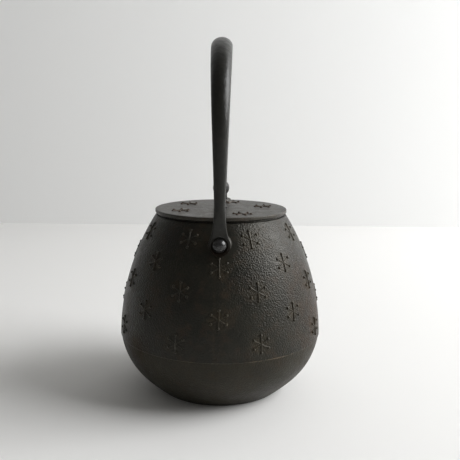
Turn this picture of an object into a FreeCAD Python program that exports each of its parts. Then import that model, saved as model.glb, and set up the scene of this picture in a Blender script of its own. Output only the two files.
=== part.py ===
import FreeCAD, Part
import os
import Sketcher

# Cast iron teapot with a swinging bail handle, a lift-off lid and a strainer basket.
# Millimetres. +Z is up, the foot stands on Z = 0 and the pot's axis is the Z axis.
# The spout points along +Y, so the handle stands in the YZ plane and swings about Y.

doc = FreeCAD.newDocument("CastIronTeapot")
dims = doc.addObject("Spreadsheet::Sheet", "Dims")
worked = doc.addObject("Spreadsheet::Sheet", "Worked")

# Driving sizes: name, value, meaning.
SIZES = [
    ("foot_radius", 43.8, "outside of the flat foot"),
    ("foot_ring_width", 9.0, "flat ring that the pot stands on"),
    ("gate_radius", 11.0, "round casting gate left in the middle of the foot"),
    ("foot_recess", 1.2, "depth of the recess between ring and gate"),
    ("knee_out", 0.46, "foot curve runs into the bowl at this share of the way from foot to belly"),
    ("knee_up", 0.274, "share of the belly's height at that point"),
    ("foot_bend", 8.0, "radius of the foot curve over its chord"),
    ("bowl_bend", 1.49, "radius of the bowl below the mould line over its chord"),
    ("belly_radius", 71.1, "widest outside radius, at the mould line"),
    ("belly_height", 40.4, "height of the mould line"),
    ("mould_step", 0.4, "the bowl is this much smaller than the shoulder at the line"),
    ("shoulder_bend", 1.86, "radius of the shoulder above the mould line over its chord"),
    ("neck_radius", 45.5, "top of the shoulder"),
    ("neck_height", 124.6, "height of the top of the shoulder"),
    ("lip_inset", 1.5, "step in from the shoulder to the lip"),
    ("lip_height", 1.2, "lip above the shoulder, the shadow line under the lid"),
    ("wall", 3.6, "casting thickness"),
    ("floor_thickness", 4.6, "casting thickness at the foot"),
    ("throat_depth", 9.0, "mouth ring thickens from this far below the shoulder's top"),
    ("throat_slope", 5.0, "height of the sloped underside of the mouth ring"),
    ("lip_land", 2.0, "flat of the lip outside the strainer's seat"),
    ("rebate_depth", 0.8, "seat in the lip for the strainer flange"),
    ("pivot_drop", 11.5, "handle pivots below the top of the shoulder"),
    ("boss_radius", 6.3, "cast boss behind each handle eye"),
    ("boss_proud", 3.4, "boss face beyond the wall at pivot height"),
    ("washer_radius", 5.6, "spacer behind each handle eye"),
    ("washer_thickness", 0.8, "its thickness"),
    ("journal_radius", 3.0, "stud where the eye turns on it"),
    ("journal_gap", 0.3, "eye hole beyond the stud"),
    ("side_gap", 0.3, "play on each side of the eye"),
    ("tang_radius", 2.4, "stud end set in the boss"),
    ("tang_depth", 5.0, "its depth in the boss"),
    ("press_gap", 0.02, "gap left round pieces that are set in a hole"),
    ("head_radius", 4.35, "domed stud head"),
    ("head_height", 3.2, "height of the dome"),
    ("eye_radius", 7.1, "round end of the handle leg"),
    ("eye_thickness", 3.2, "its thickness"),
    ("cheek_angle", 16.3, "round of the eye ends this far above level on each side, degrees"),
    ("flare_bend", 1.1, "radius of the hollow from eye to leg over the flare's rise"),
    ("handle_rise", 131.3, "top of the handle above the pivot"),
    ("crown_width", 14.4, "handle at the top, across"),
    ("crown_depth", 12.4, "handle at the top, up and down"),
    ("spring_width", 9.9, "handle where the arch springs from the leg, across"),
    ("spring_depth", 7.8, "the same, front to back"),
    ("ankle_width", 7.3, "narrowest part of the leg, across"),
    ("ankle_depth", 5.4, "the same, front to back"),
    ("flare_rise", 19.0, "leg starts to spread above the pivot"),
    ("ankle_step", 8.0, "narrowest part above that"),
    ("tube_wall", 1.6, "wall of the hollow handle"),
    ("vent_radius", 1.2, "vent in the underside of the hollow handle"),
    ("spout_root_radius", 17.0, "outside at the root"),
    ("spout_gap", 7.7, "wall between the spout's root and the handle boss above it"),
    ("spout_tip_radius", 7.3, "outside at the tip"),
    ("spout_wall", 2.3, "casting thickness of the spout"),
    ("spout_reach", 25.1, "tip beyond the wall at root height"),
    ("spout_tip_drop", 2.5, "middle of the tip below the lip"),
    ("spout_sink", 6.0, "root inside the outer face of the wall"),
    ("spout_root_lean", 30.0, "spout above level at the root, degrees"),
    ("spout_tip_lean", 70.0, "spout above level at the tip, degrees"),
    ("lid_overhang", 0.5, "lid beyond the top of the shoulder"),
    ("lid_thickness", 2.4, "thickness of the lid"),
    ("lid_edge", 0.7, "rounding of the lid's edge"),
    ("skirt_gap", 1.0, "lid skirt inside the basket"),
    ("skirt_thickness", 2.2, "its thickness"),
    ("skirt_height", 6.0, "its height"),
    ("knob_radius", 5.75, "ball of the knob"),
    ("knob_height", 19.2, "top of the knob above its seat"),
    ("knob_neck", 2.9, "thinnest part of the knob's neck"),
    ("knob_foot", 4.2, "foot of the knob's neck"),
    ("seat_thickness", 0.8, "washer under the knob"),
    ("seat_margin", 0.2, "washer beyond the knob's foot"),
    ("rivet_radius", 1.9, "rivet shank in the knob"),
    ("rivet_depth", 9.0, "its depth in the knob"),
    ("rivet_head", 3.8, "rivet head under the lid"),
    ("rivet_dome", 1.8, "height of that head"),
    ("burr_radius", 5.4, "washer under the lid"),
    ("burr_thickness", 0.8, "its thickness"),
    ("basket_gap", 1.0, "basket collar inside the mouth"),
    ("sheet_steel", 0.6, "thickness of the basket's sheet"),
    ("basket_depth", 46.0, "basket below the flange"),
    ("collar_height", 7.0, "plain collar round the top of the basket"),
    ("band_height", 4.0, "band round the bottom of the basket"),
    ("band_lip", 1.5, "band under the edge of the bottom disc"),
    ("flange_thickness", 1.0, "flange that hangs in the rebate"),
    ("flange_width", 3.6, "flange beyond the collar"),
    ("flange_gap", 0.3, "rebate beyond the flange"),
    ("hole_radius", 1.8, "perforation in the basket"),
    ("hole_pitch", 6.4, "perforations up the wall, centre to centre"),
    ("column_pitch", 11.0, "columns of them round the wall"),
    ("ring_pitch", 8.4, "rings of perforations in the base"),
]


def arc_formulas(name, low_r, low_z, high_r, high_z, bend):
    """Formulas for a curve of the wall from a low to a high point: radius and centre of its arc."""
    return [
        (f"{name}_chord", f"sqrt(({high_r} - {low_r})^2 + ({high_z} - {low_z})^2)"),
        (f"{name}_curve", f"{name}_chord * {bend}"),
        (f"{name}_bow", f"sqrt({name}_curve^2 - ({name}_chord / 2)^2)"),
        (f"{name}_r", f"({low_r} + {high_r}) / 2 - {name}_bow * ({high_z} - {low_z}) / {name}_chord"),
        (f"{name}_z", f"({low_z} + {high_z}) / 2 + {name}_bow * ({high_r} - {low_r}) / {name}_chord"),
    ]


def across_arc(name, height, inset="0"):
    """Formula for the radius of the wall at a height on one of its curves, less an inset."""
    return f"{name}_r + sqrt(({name}_curve - {inset})^2 - ({height} - {name}_z)^2)"


# Sizes worked out from the driving ones: name, formula.
FORMULAS = [
    ("lip_radius", "Dims.neck_radius - Dims.lip_inset"),
    ("lip_top", "Dims.neck_height + Dims.lip_height"),
    ("bowl_top", "Dims.belly_radius - Dims.mould_step"),
    ("knee_r", "Dims.foot_radius + (Dims.belly_radius - Dims.foot_radius) * Dims.knee_out"),
    ("knee_z", "Dims.belly_height * Dims.knee_up"),
    *arc_formulas("foot", "Dims.foot_radius", "0", "knee_r", "knee_z", "Dims.foot_bend"),
    *arc_formulas("bowl", "knee_r", "knee_z", "bowl_top", "Dims.belly_height", "Dims.bowl_bend"),
    *arc_formulas("shoulder", "Dims.belly_radius", "Dims.belly_height",
                  "Dims.neck_radius", "Dims.neck_height", "Dims.shoulder_bend"),
    ("floor_r", across_arc("foot", "Dims.floor_thickness", "Dims.wall")),
    ("knee_in_r", "knee_r - Dims.wall * (knee_r - bowl_r) / bowl_curve"),
    ("knee_in_z", "knee_z - Dims.wall * (knee_z - bowl_z) / bowl_curve"),
    ("belly_in", "Dims.belly_radius - Dims.wall"),
    ("throat_z", "Dims.neck_height - Dims.throat_depth"),
    ("throat_r", across_arc("shoulder", "throat_z", "Dims.wall")),
    ("pivot_z", "Dims.neck_height - Dims.pivot_drop"),
    ("boss_face", across_arc("shoulder", "pivot_z") + " + Dims.boss_proud"),
    ("washer_face", "boss_face + Dims.washer_thickness"),
    ("eye_in", "washer_face + Dims.side_gap"),
    ("eye_mid", "eye_in + Dims.eye_thickness / 2"),
    ("eye_out", "eye_in + Dims.eye_thickness"),
    ("head_seat", "eye_out + Dims.side_gap"),
    ("flare_z", "pivot_z + Dims.flare_rise"),
    ("ankle_z", "flare_z + Dims.ankle_step"),
    ("spring_z", "pivot_z + Dims.handle_rise - Dims.crown_depth / 2 - eye_mid"),
    ("root_rise", "Dims.spout_root_radius * cos(Dims.spout_root_lean)"),
    ("root_z", "pivot_z - Dims.boss_radius - Dims.spout_gap - root_rise"),
    ("root_skin", across_arc("shoulder", "root_z")),
    ("root_y", "root_skin - Dims.spout_sink"),
    ("tip_y", "root_skin + Dims.spout_reach"),
    ("tip_z", "lip_top - Dims.spout_tip_drop"),
    ("rebate_radius", "lip_radius - Dims.lip_land"),
    ("flange_radius", "rebate_radius - Dims.flange_gap"),
    ("collar_radius", "flange_radius - Dims.flange_width"),
    ("mouth_radius", "collar_radius + Dims.basket_gap"),
    ("basket_radius", "collar_radius - Dims.sheet_steel - Dims.press_gap"),
    ("rebate_z", "lip_top - Dims.rebate_depth"),
    ("flange_top", "rebate_z + Dims.flange_thickness"),
    ("basket_base", "flange_top - Dims.basket_depth"),
    ("skirt_radius", "basket_radius - Dims.sheet_steel - Dims.skirt_gap"),
    ("lid_radius", "Dims.neck_radius + Dims.lid_overhang"),
    ("lid_top", "flange_top + Dims.lid_thickness"),
    ("knob_base", "lid_top + Dims.seat_thickness"),
    ("knob_top", "knob_base + Dims.knob_height"),
    ("seat_radius", "Dims.knob_foot + Dims.seat_margin"),
    ("burr_z", "flange_top - Dims.burr_thickness"),
]


def fill_sheets():
    """Put the driving sizes and the formulas in their sheets under their names."""
    for row, (name, size, meaning) in enumerate(SIZES, start=1):
        dims.set(f"A{row}", meaning)
        dims.set(f"B{row}", str(size))
        dims.setAlias(f"B{row}", name)
    doc.recompute()
    for row, (name, formula) in enumerate(FORMULAS, start=1):
        worked.set(f"B{row}", f"={formula}")
        worked.setAlias(f"B{row}", name)
    doc.recompute()


def number(formula):
    """The number that a formula over the sheets gives."""
    result = dims.evalExpression(str(formula))
    return float(getattr(result, "Value", result))


def bind(thing, **formulas):
    """Bind properties of an object to formulas; two underscores stand for a dot."""
    for name, formula in formulas.items():
        thing.setExpression(name.replace("__", "."), str(formula))


def new_body(name):
    return doc.addObject("PartDesign::Body", name)


def origin_feature(body, role):
    return next(f for f in body.Origin.OriginFeatures if f.Role == role)


def new_sketch(body, role, name):
    sketch = body.newObject("Sketcher::SketchObject", name)
    sketch.AttachmentSupport = [(origin_feature(body, role), "")]
    sketch.MapMode = "FlatFace"
    return sketch


def pin_point(sketch, edge, end, across, up, tag):
    """Fix one end of a sketch edge at (across, up), both formulas."""
    for kind, axis, formula in (("DistanceX", -2, across), ("DistanceY", -1, up)):
        if formula == "0":
            sketch.addConstraint(Sketcher.Constraint("PointOnObject", edge, end, axis))
            continue
        constraint = Sketcher.Constraint(kind, -1, 1, edge, end, number(formula))
        index = sketch.addConstraint(constraint)
        sketch.renameConstraint(index, f"{tag}_{kind}")
        sketch.setExpression(f"Constraints.{tag}_{kind}", formula)


def arc_edge(start, end, radius, side):
    """Arc from start to end. Its centre is to the left of that way for side +1, right for -1."""
    half = (end - start) * 0.5
    reach = (radius * radius - half.Length * half.Length) ** 0.5
    left = FreeCAD.Vector(-half.y, half.x, 0).normalize()
    middle = start + half
    centre = middle + left * (reach * side)
    crest = centre + (middle - centre).normalize() * radius
    return Part.Arc(start, crest, end)


def outline(sketch, corners):
    """Closed outline through corners (across, up, radius, side), all but side formulas.
    Radius and side belong to the edge that leaves the corner; without them it is straight."""
    points = [FreeCAD.Vector(number(c[0]), number(c[1]), 0) for c in corners]
    ends = []
    for index, corner in enumerate(corners):
        start = points[index]
        end = points[(index + 1) % len(points)]
        if len(corner) == 2:
            edge = sketch.addGeometry(Part.LineSegment(start, end), False)
            ends.append((edge, 1, 2))
            continue
        edge = sketch.addGeometry(arc_edge(start, end, number(corner[2]), corner[3]), False)
        first = sketch.getPoint(edge, 1)
        forward = first.distanceToPoint(start) < first.distanceToPoint(end)
        ends.append((edge, 1, 2) if forward else (edge, 2, 1))
    for index, (edge, first, last) in enumerate(ends):
        following = ends[(index + 1) % len(ends)]
        sketch.addConstraint(Sketcher.Constraint("Coincident", edge, last, following[0], following[1]))
    for index, corner in enumerate(corners):
        edge, first, last = ends[index]
        pin_point(sketch, edge, first, corner[0], corner[1], f"corner{index}")
        if len(corner) == 4:
            bend = sketch.addConstraint(Sketcher.Constraint("Radius", edge, number(corner[2])))
            sketch.renameConstraint(bend, f"bend{index}")
            sketch.setExpression(f"Constraints.bend{index}", corner[2])
    return sketch


def circle(sketch, across, up, radius):
    """Circle with its centre at (across, up), all formulas."""
    centre = FreeCAD.Vector(number(across), number(up), 0)
    edge = sketch.addGeometry(Part.Circle(centre, FreeCAD.Vector(0, 0, 1), number(radius)), False)
    pin_point(sketch, edge, 3, across, up, f"centre{edge}")
    size = sketch.addConstraint(Sketcher.Constraint("Radius", edge, number(radius)))
    sketch.renameConstraint(size, f"radius{edge}")
    sketch.setExpression(f"Constraints.radius{edge}", radius)
    return sketch


def turned(body, name, corners, kind="Revolution"):
    """Turn an outline round the Z axis."""
    sketch = outline(new_sketch(body, "XZ_Plane", f"{name}_outline"), corners)
    feature = body.newObject(f"PartDesign::{kind}", name)
    feature.Profile = sketch
    feature.ReferenceAxis = (sketch, ["V_Axis"])
    feature.Angle = 360
    return feature


def drilled(body, name, sketch, length, reversed_way=False):
    """Blind pocket from a sketch."""
    pocket = body.newObject("PartDesign::Pocket", name)
    pocket.Profile = sketch
    pocket.Type = "Length"
    pocket.Reversed = reversed_way
    bind(pocket, Length=length)
    return pocket


def patterned(body, name, feature, count):
    """Repeat a feature all round the Z axis."""
    pattern = body.newObject("PartDesign::PolarPattern", name)
    pattern.Originals = [feature]
    pattern.Axis = (origin_feature(body, "Z_Axis"), [""])
    pattern.Angle = 360
    pattern.Occurrences = count
    body.Tip = pattern
    return pattern


def bowl_casting():
    """Lower part of the pot, from the foot to the mould line."""
    body = new_body("bowl_casting")
    ring = "Dims.foot_radius - Dims.foot_ring_width"
    turned(body, "bowl_turned", [
        ("0", "0"),
        ("Dims.gate_radius", "0"),
        ("Dims.gate_radius", "Dims.foot_recess"),
        (ring, "Dims.foot_recess"),
        (ring, "0"),
        ("Dims.foot_radius", "0", "Worked.foot_curve", 1),
        ("Worked.knee_r", "Worked.knee_z", "Worked.bowl_curve", 1),
        ("Worked.bowl_top", "Dims.belly_height"),
        ("Worked.belly_in", "Dims.belly_height", "Worked.bowl_curve - Dims.wall", -1),
        ("Worked.knee_in_r", "Worked.knee_in_z", "Worked.foot_curve - Dims.wall", -1),
        ("Worked.floor_r", "Dims.floor_thickness"),
        ("0", "Dims.floor_thickness"),
    ])
    return body


def spout_station(body, name, along, radius):
    """Circle across the spout; along runs from 0 at the root to 1 at the tip of its bent axis."""
    root = ("Worked.root_y", "Worked.root_z")
    tip = ("Worked.tip_y", "Worked.tip_z")
    low = "Dims.spout_root_lean"
    high = "Dims.spout_tip_lean"
    run = f"({tip[0]} - {root[0]})"
    rise = f"({tip[1]} - {root[1]})"
    arm = f"(({run} * sin({high}) - {rise} * cos({high})) / sin({high} - {low}))"
    bend = (f"({root[0]} + {arm} * cos({low}))", f"({root[1]} + {arm} * sin({low}))")
    a = (1 - along) ** 2
    b = 2 * along * (1 - along)
    c = along ** 2
    lean = f"({low} + ({high} - {low}) * {along})"
    sketch = circle(new_sketch(body, "XY_Plane", name), "0", "0", radius)
    sketch.AttachmentOffset = FreeCAD.Placement(
        FreeCAD.Vector(), FreeCAD.Rotation(FreeCAD.Vector(-1, 0, 0), 45))
    bind(
        sketch,
        AttachmentOffset__Base__y=f"{a} * {root[0]} + {b} * {bend[0]} + {c} * {tip[0]}",
        AttachmentOffset__Base__z=f"{a} * {root[1]} + {b} * {bend[1]} + {c} * {tip[1]}",
        AttachmentOffset__Rotation__Angle=f"90 - {lean}",
    )
    return sketch


def spout_loft(body, name, kind, inset):
    """Loft along the spout; inset is taken off the outside radius."""
    stations = []
    for index, along in enumerate((0.0, 0.3, 0.65, 1.0)):
        slim = (1 - along) ** 2
        radius = (f"Dims.spout_tip_radius + (Dims.spout_root_radius - Dims.spout_tip_radius) * {slim}"
                  f" - {inset}")
        stations.append(spout_station(body, f"{name}_station{index}", along, radius))
    loft = body.newObject(f"PartDesign::{kind}", name)
    loft.Profile = stations[0]
    loft.Sections = stations[1:]
    return loft


def shoulder_casting():
    """Upper part of the pot, from the mould line to the lip, with the handle bosses."""
    body = new_body("shoulder_casting")
    turned(body, "shoulder_outside", [
        ("0", "Dims.belly_height"),
        ("Dims.belly_radius", "Dims.belly_height", "Worked.shoulder_curve", 1),
        ("Dims.neck_radius", "Dims.neck_height"),
        ("Worked.lip_radius", "Dims.neck_height"),
        ("Worked.lip_radius", "Worked.lip_top"),
        ("0", "Worked.lip_top"),
    ])
    boss = body.newObject("PartDesign::Pad", "handle_bosses")
    boss_circle = new_sketch(body, "XZ_Plane", "boss_circle")
    boss.Profile = circle(boss_circle, "0", "Worked.pivot_z", "Dims.boss_radius")
    boss.SideType = "Symmetric"
    bind(boss, Length="2 * Worked.boss_face")
    above = "Worked.lip_top + Dims.lip_height"
    turned(body, "shoulder_inside", [
        ("0", "Dims.belly_height"),
        ("Worked.belly_in", "Dims.belly_height", "Worked.shoulder_curve - Dims.wall", 1),
        ("Worked.throat_r", "Worked.throat_z"),
        ("Worked.mouth_radius", "Worked.throat_z + Dims.throat_slope"),
        ("Worked.mouth_radius", "Worked.rebate_z"),
        ("Worked.rebate_radius", "Worked.rebate_z"),
        ("Worked.rebate_radius", above),
        ("0", above),
    ], "Groove")
    spout_loft(body, "spout_opening", "SubtractiveLoft", "Dims.spout_wall")
    for side, name in ((1, "rear"), (-1, "front")):
        sketch = circle(
            new_sketch(body, "XZ_Plane", f"{name}_tang_circle"),
            "0", "Worked.pivot_z", "Dims.tang_radius + Dims.press_gap")
        bind(sketch, AttachmentOffset__Base__z=f"{side} * Worked.boss_face")
        drilled(body, f"{name}_tang_hole", sketch, "Dims.tang_depth + Dims.press_gap", side < 0)
    return body


def spout_casting():
    """Spout outside the wall, with the bore that goes on through the shoulder."""
    body = new_body("spout_casting")
    spout_loft(body, "spout_outside", "AdditiveLoft", "0")
    turned(body, "spout_seat", [
        ("0", "Dims.belly_height"),
        ("Dims.belly_radius + Dims.press_gap", "Dims.belly_height", "Worked.shoulder_curve", 1),
        ("Dims.neck_radius + Dims.press_gap", "Dims.neck_height"),
        ("0", "Dims.neck_height"),
    ], "Groove")
    spout_loft(body, "spout_bore", "SubtractiveLoft", "Dims.spout_wall")
    return body


def placed_on_pivot(body, side):
    """Turn a piece made about Z so that its axis points out along the pivot line."""
    body.Placement = FreeCAD.Placement(
        FreeCAD.Vector(), FreeCAD.Rotation(FreeCAD.Vector(1, 0, 0), 90 * side))
    bind(body, Placement__Base__z="Worked.pivot_z")
    return body


def stud(name, side):
    """Domed stud: tang in the boss, journal in the eye, head outside."""
    body = new_body(name)
    dome = "(Dims.head_radius^2 + Dims.head_height^2) / (2 * Dims.head_height)"
    turned(body, f"{name}_turned", [
        ("0", "Worked.boss_face - Dims.tang_depth"),
        ("Dims.tang_radius", "Worked.boss_face - Dims.tang_depth"),
        ("Dims.tang_radius", "Worked.boss_face"),
        ("Dims.journal_radius", "Worked.boss_face"),
        ("Dims.journal_radius", "Worked.head_seat"),
        ("Dims.head_radius", "Worked.head_seat", dome, 1),
        ("0", "Worked.head_seat + Dims.head_height"),
    ])
    return placed_on_pivot(body, side)


def ring_corners(inner, outer, low, high):
    return [(inner, low), (outer, low), (outer, high), (inner, high)]


def pivot_washer(name, side):
    """Flat spacer between boss and eye."""
    body = new_body(name)
    bore = "Dims.journal_radius + Dims.press_gap"
    turned(body, f"{name}_turned", ring_corners(
        bore, "Dims.washer_radius", "Worked.boss_face", "Worked.washer_face"))
    return placed_on_pivot(body, side)


def handle_spine(name, start):
    """Middle line of the bail: leg, half circle, leg. It starts at a height on each leg."""
    sketch = doc.addObject("Sketcher::SketchObject", name)
    sketch.Placement = FreeCAD.Placement(FreeCAD.Vector(), FreeCAD.Rotation(0.5, 0.5, 0.5, 0.5))
    half = number("Worked.eye_mid")
    spring = number("Worked.spring_z")
    low = number(start)
    corners = [FreeCAD.Vector(-half, low, 0), FreeCAD.Vector(-half, spring, 0),
               FreeCAD.Vector(half, spring, 0), FreeCAD.Vector(half, low, 0)]
    top = FreeCAD.Vector(0, spring + half, 0)
    rear = sketch.addGeometry(Part.LineSegment(corners[0], corners[1]), False)
    arch = sketch.addGeometry(Part.Arc(corners[1], top, corners[2]), False)
    front = sketch.addGeometry(Part.LineSegment(corners[2], corners[3]), False)
    arch_rear = 2 if sketch.getPoint(arch, 2).x < 0 else 1
    sketch.addConstraint(Sketcher.Constraint("Coincident", rear, 2, arch, arch_rear))
    sketch.addConstraint(Sketcher.Constraint("Coincident", front, 1, arch, 3 - arch_rear))
    pin_point(sketch, rear, 1, "-Worked.eye_mid", start, "rear_low")
    pin_point(sketch, rear, 2, "-Worked.eye_mid", "Worked.spring_z", "rear_high")
    pin_point(sketch, front, 1, "Worked.eye_mid", "Worked.spring_z", "front_high")
    pin_point(sketch, front, 2, "Worked.eye_mid", start, "front_low")
    middle = sketch.addConstraint(Sketcher.Constraint("DistanceY", -1, 1, arch, 3, spring))
    sketch.renameConstraint(middle, "arch_middle")
    sketch.setExpression("Constraints.arch_middle", "Worked.spring_z")
    return sketch


def handle_section(name, degrees, height, width, depth, inset):
    """Oval across the bail. Degrees count round the arch from the rear leg; legs give a height."""
    oval = doc.addObject("Part::Ellipse", name)
    oval.Placement = FreeCAD.Placement(
        FreeCAD.Vector(), FreeCAD.Rotation(FreeCAD.Vector(1, 0, 0), -degrees))
    bind(
        oval,
        MajorRadius=f"({width}) / 2 - {inset}",
        MinorRadius=f"({depth}) / 2 - {inset}",
        Placement__Base__y=f"-Worked.eye_mid * cos({degrees})",
        Placement__Base__z=f"({height}) + Worked.eye_mid * sin({degrees})",
    )
    return oval


def handle_tube(name, start, inset):
    """Tapered bail from a height on one leg to the same height on the other."""
    grow = "(Dims.spring_{0} + (Dims.crown_{0} - Dims.spring_{0}) * sin({1}))"
    half = []
    if inset == "0":
        half.append((0, start, "Dims.ankle_width", "Dims.ankle_depth"))
    half.append((0, "Worked.ankle_z", "Dims.ankle_width", "Dims.ankle_depth"))
    for degrees in (0, 30, 60):
        width, depth = (grow.format(side, degrees) for side in ("width", "depth"))
        half.append((degrees, "Worked.spring_z", width, depth))
    crown = (90, "Worked.spring_z", "Dims.crown_width", "Dims.crown_depth")
    other = [(180 - degrees, height, width, depth) for degrees, height, width, depth in reversed(half)]
    sections = []
    for index, (degrees, height, width, depth) in enumerate(half + [crown] + other):
        sections.append(handle_section(f"{name}_oval{index}", degrees, height, width, depth, inset))
    spine = handle_spine(f"{name}_spine", start)
    doc.recompute()
    sweep = doc.addObject("Part::Sweep", name)
    sweep.Sections = sections
    sweep.Spine = (spine, ["Edge1", "Edge2", "Edge3"])
    sweep.Solid = True
    sweep.Frenet = False
    return sweep


def spade(name, side):
    """Flattened end of a leg: round eye that narrows to the ankle."""
    body = new_body(name)
    sketch = new_sketch(body, "XZ_Plane", f"{name}_outline")
    neck = "Dims.ankle_width / 2"
    top = "Worked.flare_z"
    cheek = "Dims.eye_radius * cos(Dims.cheek_angle)"
    cheek_up = "Worked.pivot_z + Dims.eye_radius * sin(Dims.cheek_angle)"
    blend = "Dims.flare_rise * Dims.flare_bend"
    outline(sketch, [
        (f"-({cheek})", cheek_up, "Dims.eye_radius", 1),
        ("0", "Worked.pivot_z - Dims.eye_radius", "Dims.eye_radius", 1),
        (cheek, cheek_up, blend, -1),
        (neck, top),
        (f"-({neck})", top, blend, -1),
    ])
    bind(sketch, AttachmentOffset__Base__z=f"{side} * Worked.eye_mid")
    pad = body.newObject("PartDesign::Pad", f"{name}_pad")
    pad.Profile = sketch
    pad.SideType = "Symmetric"
    bind(pad, Length="Dims.eye_thickness")
    return body


def handle():
    """Hollow forged bail with a flattened eye on each leg."""
    low = "Worked.flare_z - Dims.eye_thickness"
    outside = handle_tube("handle_outside", low, "0")
    inside = handle_tube("handle_inside", "Worked.ankle_z", "Dims.tube_wall")
    joined = doc.addObject("Part::MultiFuse", "handle_joined")
    joined.Shapes = [outside, spade("rear_spade", 1), spade("front_spade", -1)]
    pin = doc.addObject("Part::Cylinder", "eye_hole")
    pin.Placement = FreeCAD.Placement(FreeCAD.Vector(), FreeCAD.Rotation(FreeCAD.Vector(1, 0, 0), 90))
    bind(
        pin,
        Radius="Dims.journal_radius + Dims.journal_gap",
        Height="4 * Worked.eye_out",
        Placement__Base__y="2 * Worked.eye_out",
        Placement__Base__z="Worked.pivot_z",
    )
    vent = doc.addObject("Part::Cylinder", "handle_vent")
    bind(
        vent,
        Radius="Dims.vent_radius",
        Height="Dims.crown_depth",
        Placement__Base__z="Worked.spring_z + Worked.eye_mid - Dims.crown_depth",
    )
    hollow = doc.addObject("Part::MultiFuse", "handle_hollow")
    hollow.Shapes = [inside, vent, pin]
    cut = doc.addObject("Part::Cut", "handle")
    cut.Base = joined
    cut.Tool = hollow
    return cut


def lid_plate():
    """Flat lid with a rounded edge, a rivet hole and a skirt that locates it in the basket."""
    body = new_body("lid_plate")
    hole = "Dims.rivet_radius + Dims.press_gap"
    skirt_in = "Worked.skirt_radius - Dims.skirt_thickness"
    skirt_low = "Worked.flange_top - Dims.skirt_height"
    turned(body, "lid_turned", [
        (hole, "Worked.flange_top"),
        (skirt_in, "Worked.flange_top"),
        (skirt_in, skirt_low),
        ("Worked.skirt_radius", skirt_low),
        ("Worked.skirt_radius", "Worked.flange_top"),
        ("Worked.lid_radius", "Worked.flange_top"),
        ("Worked.lid_radius", "Worked.lid_top - Dims.lid_edge", "Dims.lid_edge", 1),
        ("Worked.lid_radius - Dims.lid_edge", "Worked.lid_top"),
        (hole, "Worked.lid_top"),
    ])
    return body


def lid_knob():
    """Ball on a hollowed neck, with a blind hole for the rivet."""
    body = new_body("lid_knob")
    hole = "Dims.rivet_radius + Dims.press_gap"
    hole_top = "Worked.knob_base + Dims.rivet_depth + Dims.press_gap"
    ball_z = "Worked.knob_top - Dims.knob_radius"
    under = f"{ball_z} - sqrt(Dims.knob_radius^2 - Dims.knob_neck^2)"
    turned(body, "knob_turned", [
        (hole, "Worked.knob_base"),
        ("Dims.knob_foot", "Worked.knob_base", "Dims.knob_height / 2", -1),
        ("Dims.knob_neck", under, "Dims.knob_radius", 1),
        ("Dims.knob_radius", ball_z, "Dims.knob_radius", 1),
        ("0", "Worked.knob_top"),
        ("0", hole_top),
        (hole, hole_top),
    ])
    return body


def plain_washer(name, inner, outer, low, high):
    body = new_body(name)
    turned(body, f"{name}_turned", ring_corners(inner, outer, low, high))
    return body


def knob_rivet():
    """Rivet up through washer, lid and seat into the knob, with a domed head below."""
    body = new_body("knob_rivet")
    dome = "(Dims.rivet_head^2 + Dims.rivet_dome^2) / (2 * Dims.rivet_dome)"
    turned(body, "rivet_turned", [
        ("0", "Worked.burr_z - Dims.rivet_dome", dome, 1),
        ("Dims.rivet_head", "Worked.burr_z"),
        ("Dims.rivet_radius", "Worked.burr_z"),
        ("Dims.rivet_radius", "Worked.knob_base + Dims.rivet_depth"),
        ("0", "Worked.knob_base + Dims.rivet_depth"),
    ])
    return body


def strainer_rim():
    """Flange that hangs in the rebate and the collar round the top of the basket."""
    body = new_body("strainer_rim")
    inner = "Worked.collar_radius - Dims.sheet_steel"
    under = "Worked.flange_top - Dims.flange_thickness"
    low = "Worked.flange_top - Dims.collar_height"
    turned(body, "rim_turned", [
        (inner, low),
        ("Worked.collar_radius", low),
        ("Worked.collar_radius", under),
        ("Worked.flange_radius", under),
        ("Worked.flange_radius", "Worked.flange_top"),
        (inner, "Worked.flange_top"),
    ])
    return body


def strainer_wall():
    """Perforated tube inside the collar and the bottom cup."""
    body = new_body("strainer_wall")
    inner = "Worked.basket_radius - Dims.sheet_steel"
    low = "Worked.basket_base + Dims.sheet_steel"
    turned(body, "wall_turned", ring_corners(inner, "Worked.basket_radius", low, "Worked.flange_top"))
    bottom = "Worked.basket_base + Dims.band_height + 2 * Dims.hole_radius"
    clear = number("Worked.flange_top - Dims.collar_height - Dims.hole_radius") - number(bottom)
    rows = max(1, int(clear / number("Dims.hole_pitch")))
    sketch = new_sketch(body, "XZ_Plane", "wall_holes_column")
    for row in range(rows):
        circle(sketch, "0", f"{bottom} + {row} * Dims.hole_pitch", "Dims.hole_radius")
    bind(sketch, AttachmentOffset__Base__z="Worked.basket_radius + Dims.sheet_steel")
    column = drilled(body, "wall_holes", sketch, "3 * Dims.sheet_steel")
    columns = max(3, int(number("2 * pi * Worked.basket_radius / Dims.column_pitch")))
    patterned(body, "wall_holes_round", column, columns)
    return body


def strainer_base():
    """Perforated disc that closes the basket under its wall."""
    body = new_body("strainer_base")
    floor = "Worked.basket_base + Dims.sheet_steel"
    turned(body, "base_turned", [
        ("0", "Worked.basket_base"),
        ("Worked.basket_radius", "Worked.basket_base"),
        ("Worked.basket_radius", floor),
        ("0", floor),
    ])
    clear = number("Worked.basket_radius - Dims.band_lip - Dims.hole_radius")
    rings = int(clear / number("Dims.ring_pitch"))
    for ring in range(1, rings + 1):
        sketch = new_sketch(body, "XY_Plane", f"base_hole{ring}_circle")
        circle(sketch, f"{ring} * Dims.ring_pitch", "0", "Dims.hole_radius")
        bind(sketch, AttachmentOffset__Base__z="Worked.basket_base + 2 * Dims.sheet_steel")
        hole = drilled(body, f"base_hole{ring}", sketch, "3 * Dims.sheet_steel")
        patterned(body, f"base_holes{ring}", hole, 5 * ring)
    return body


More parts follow.
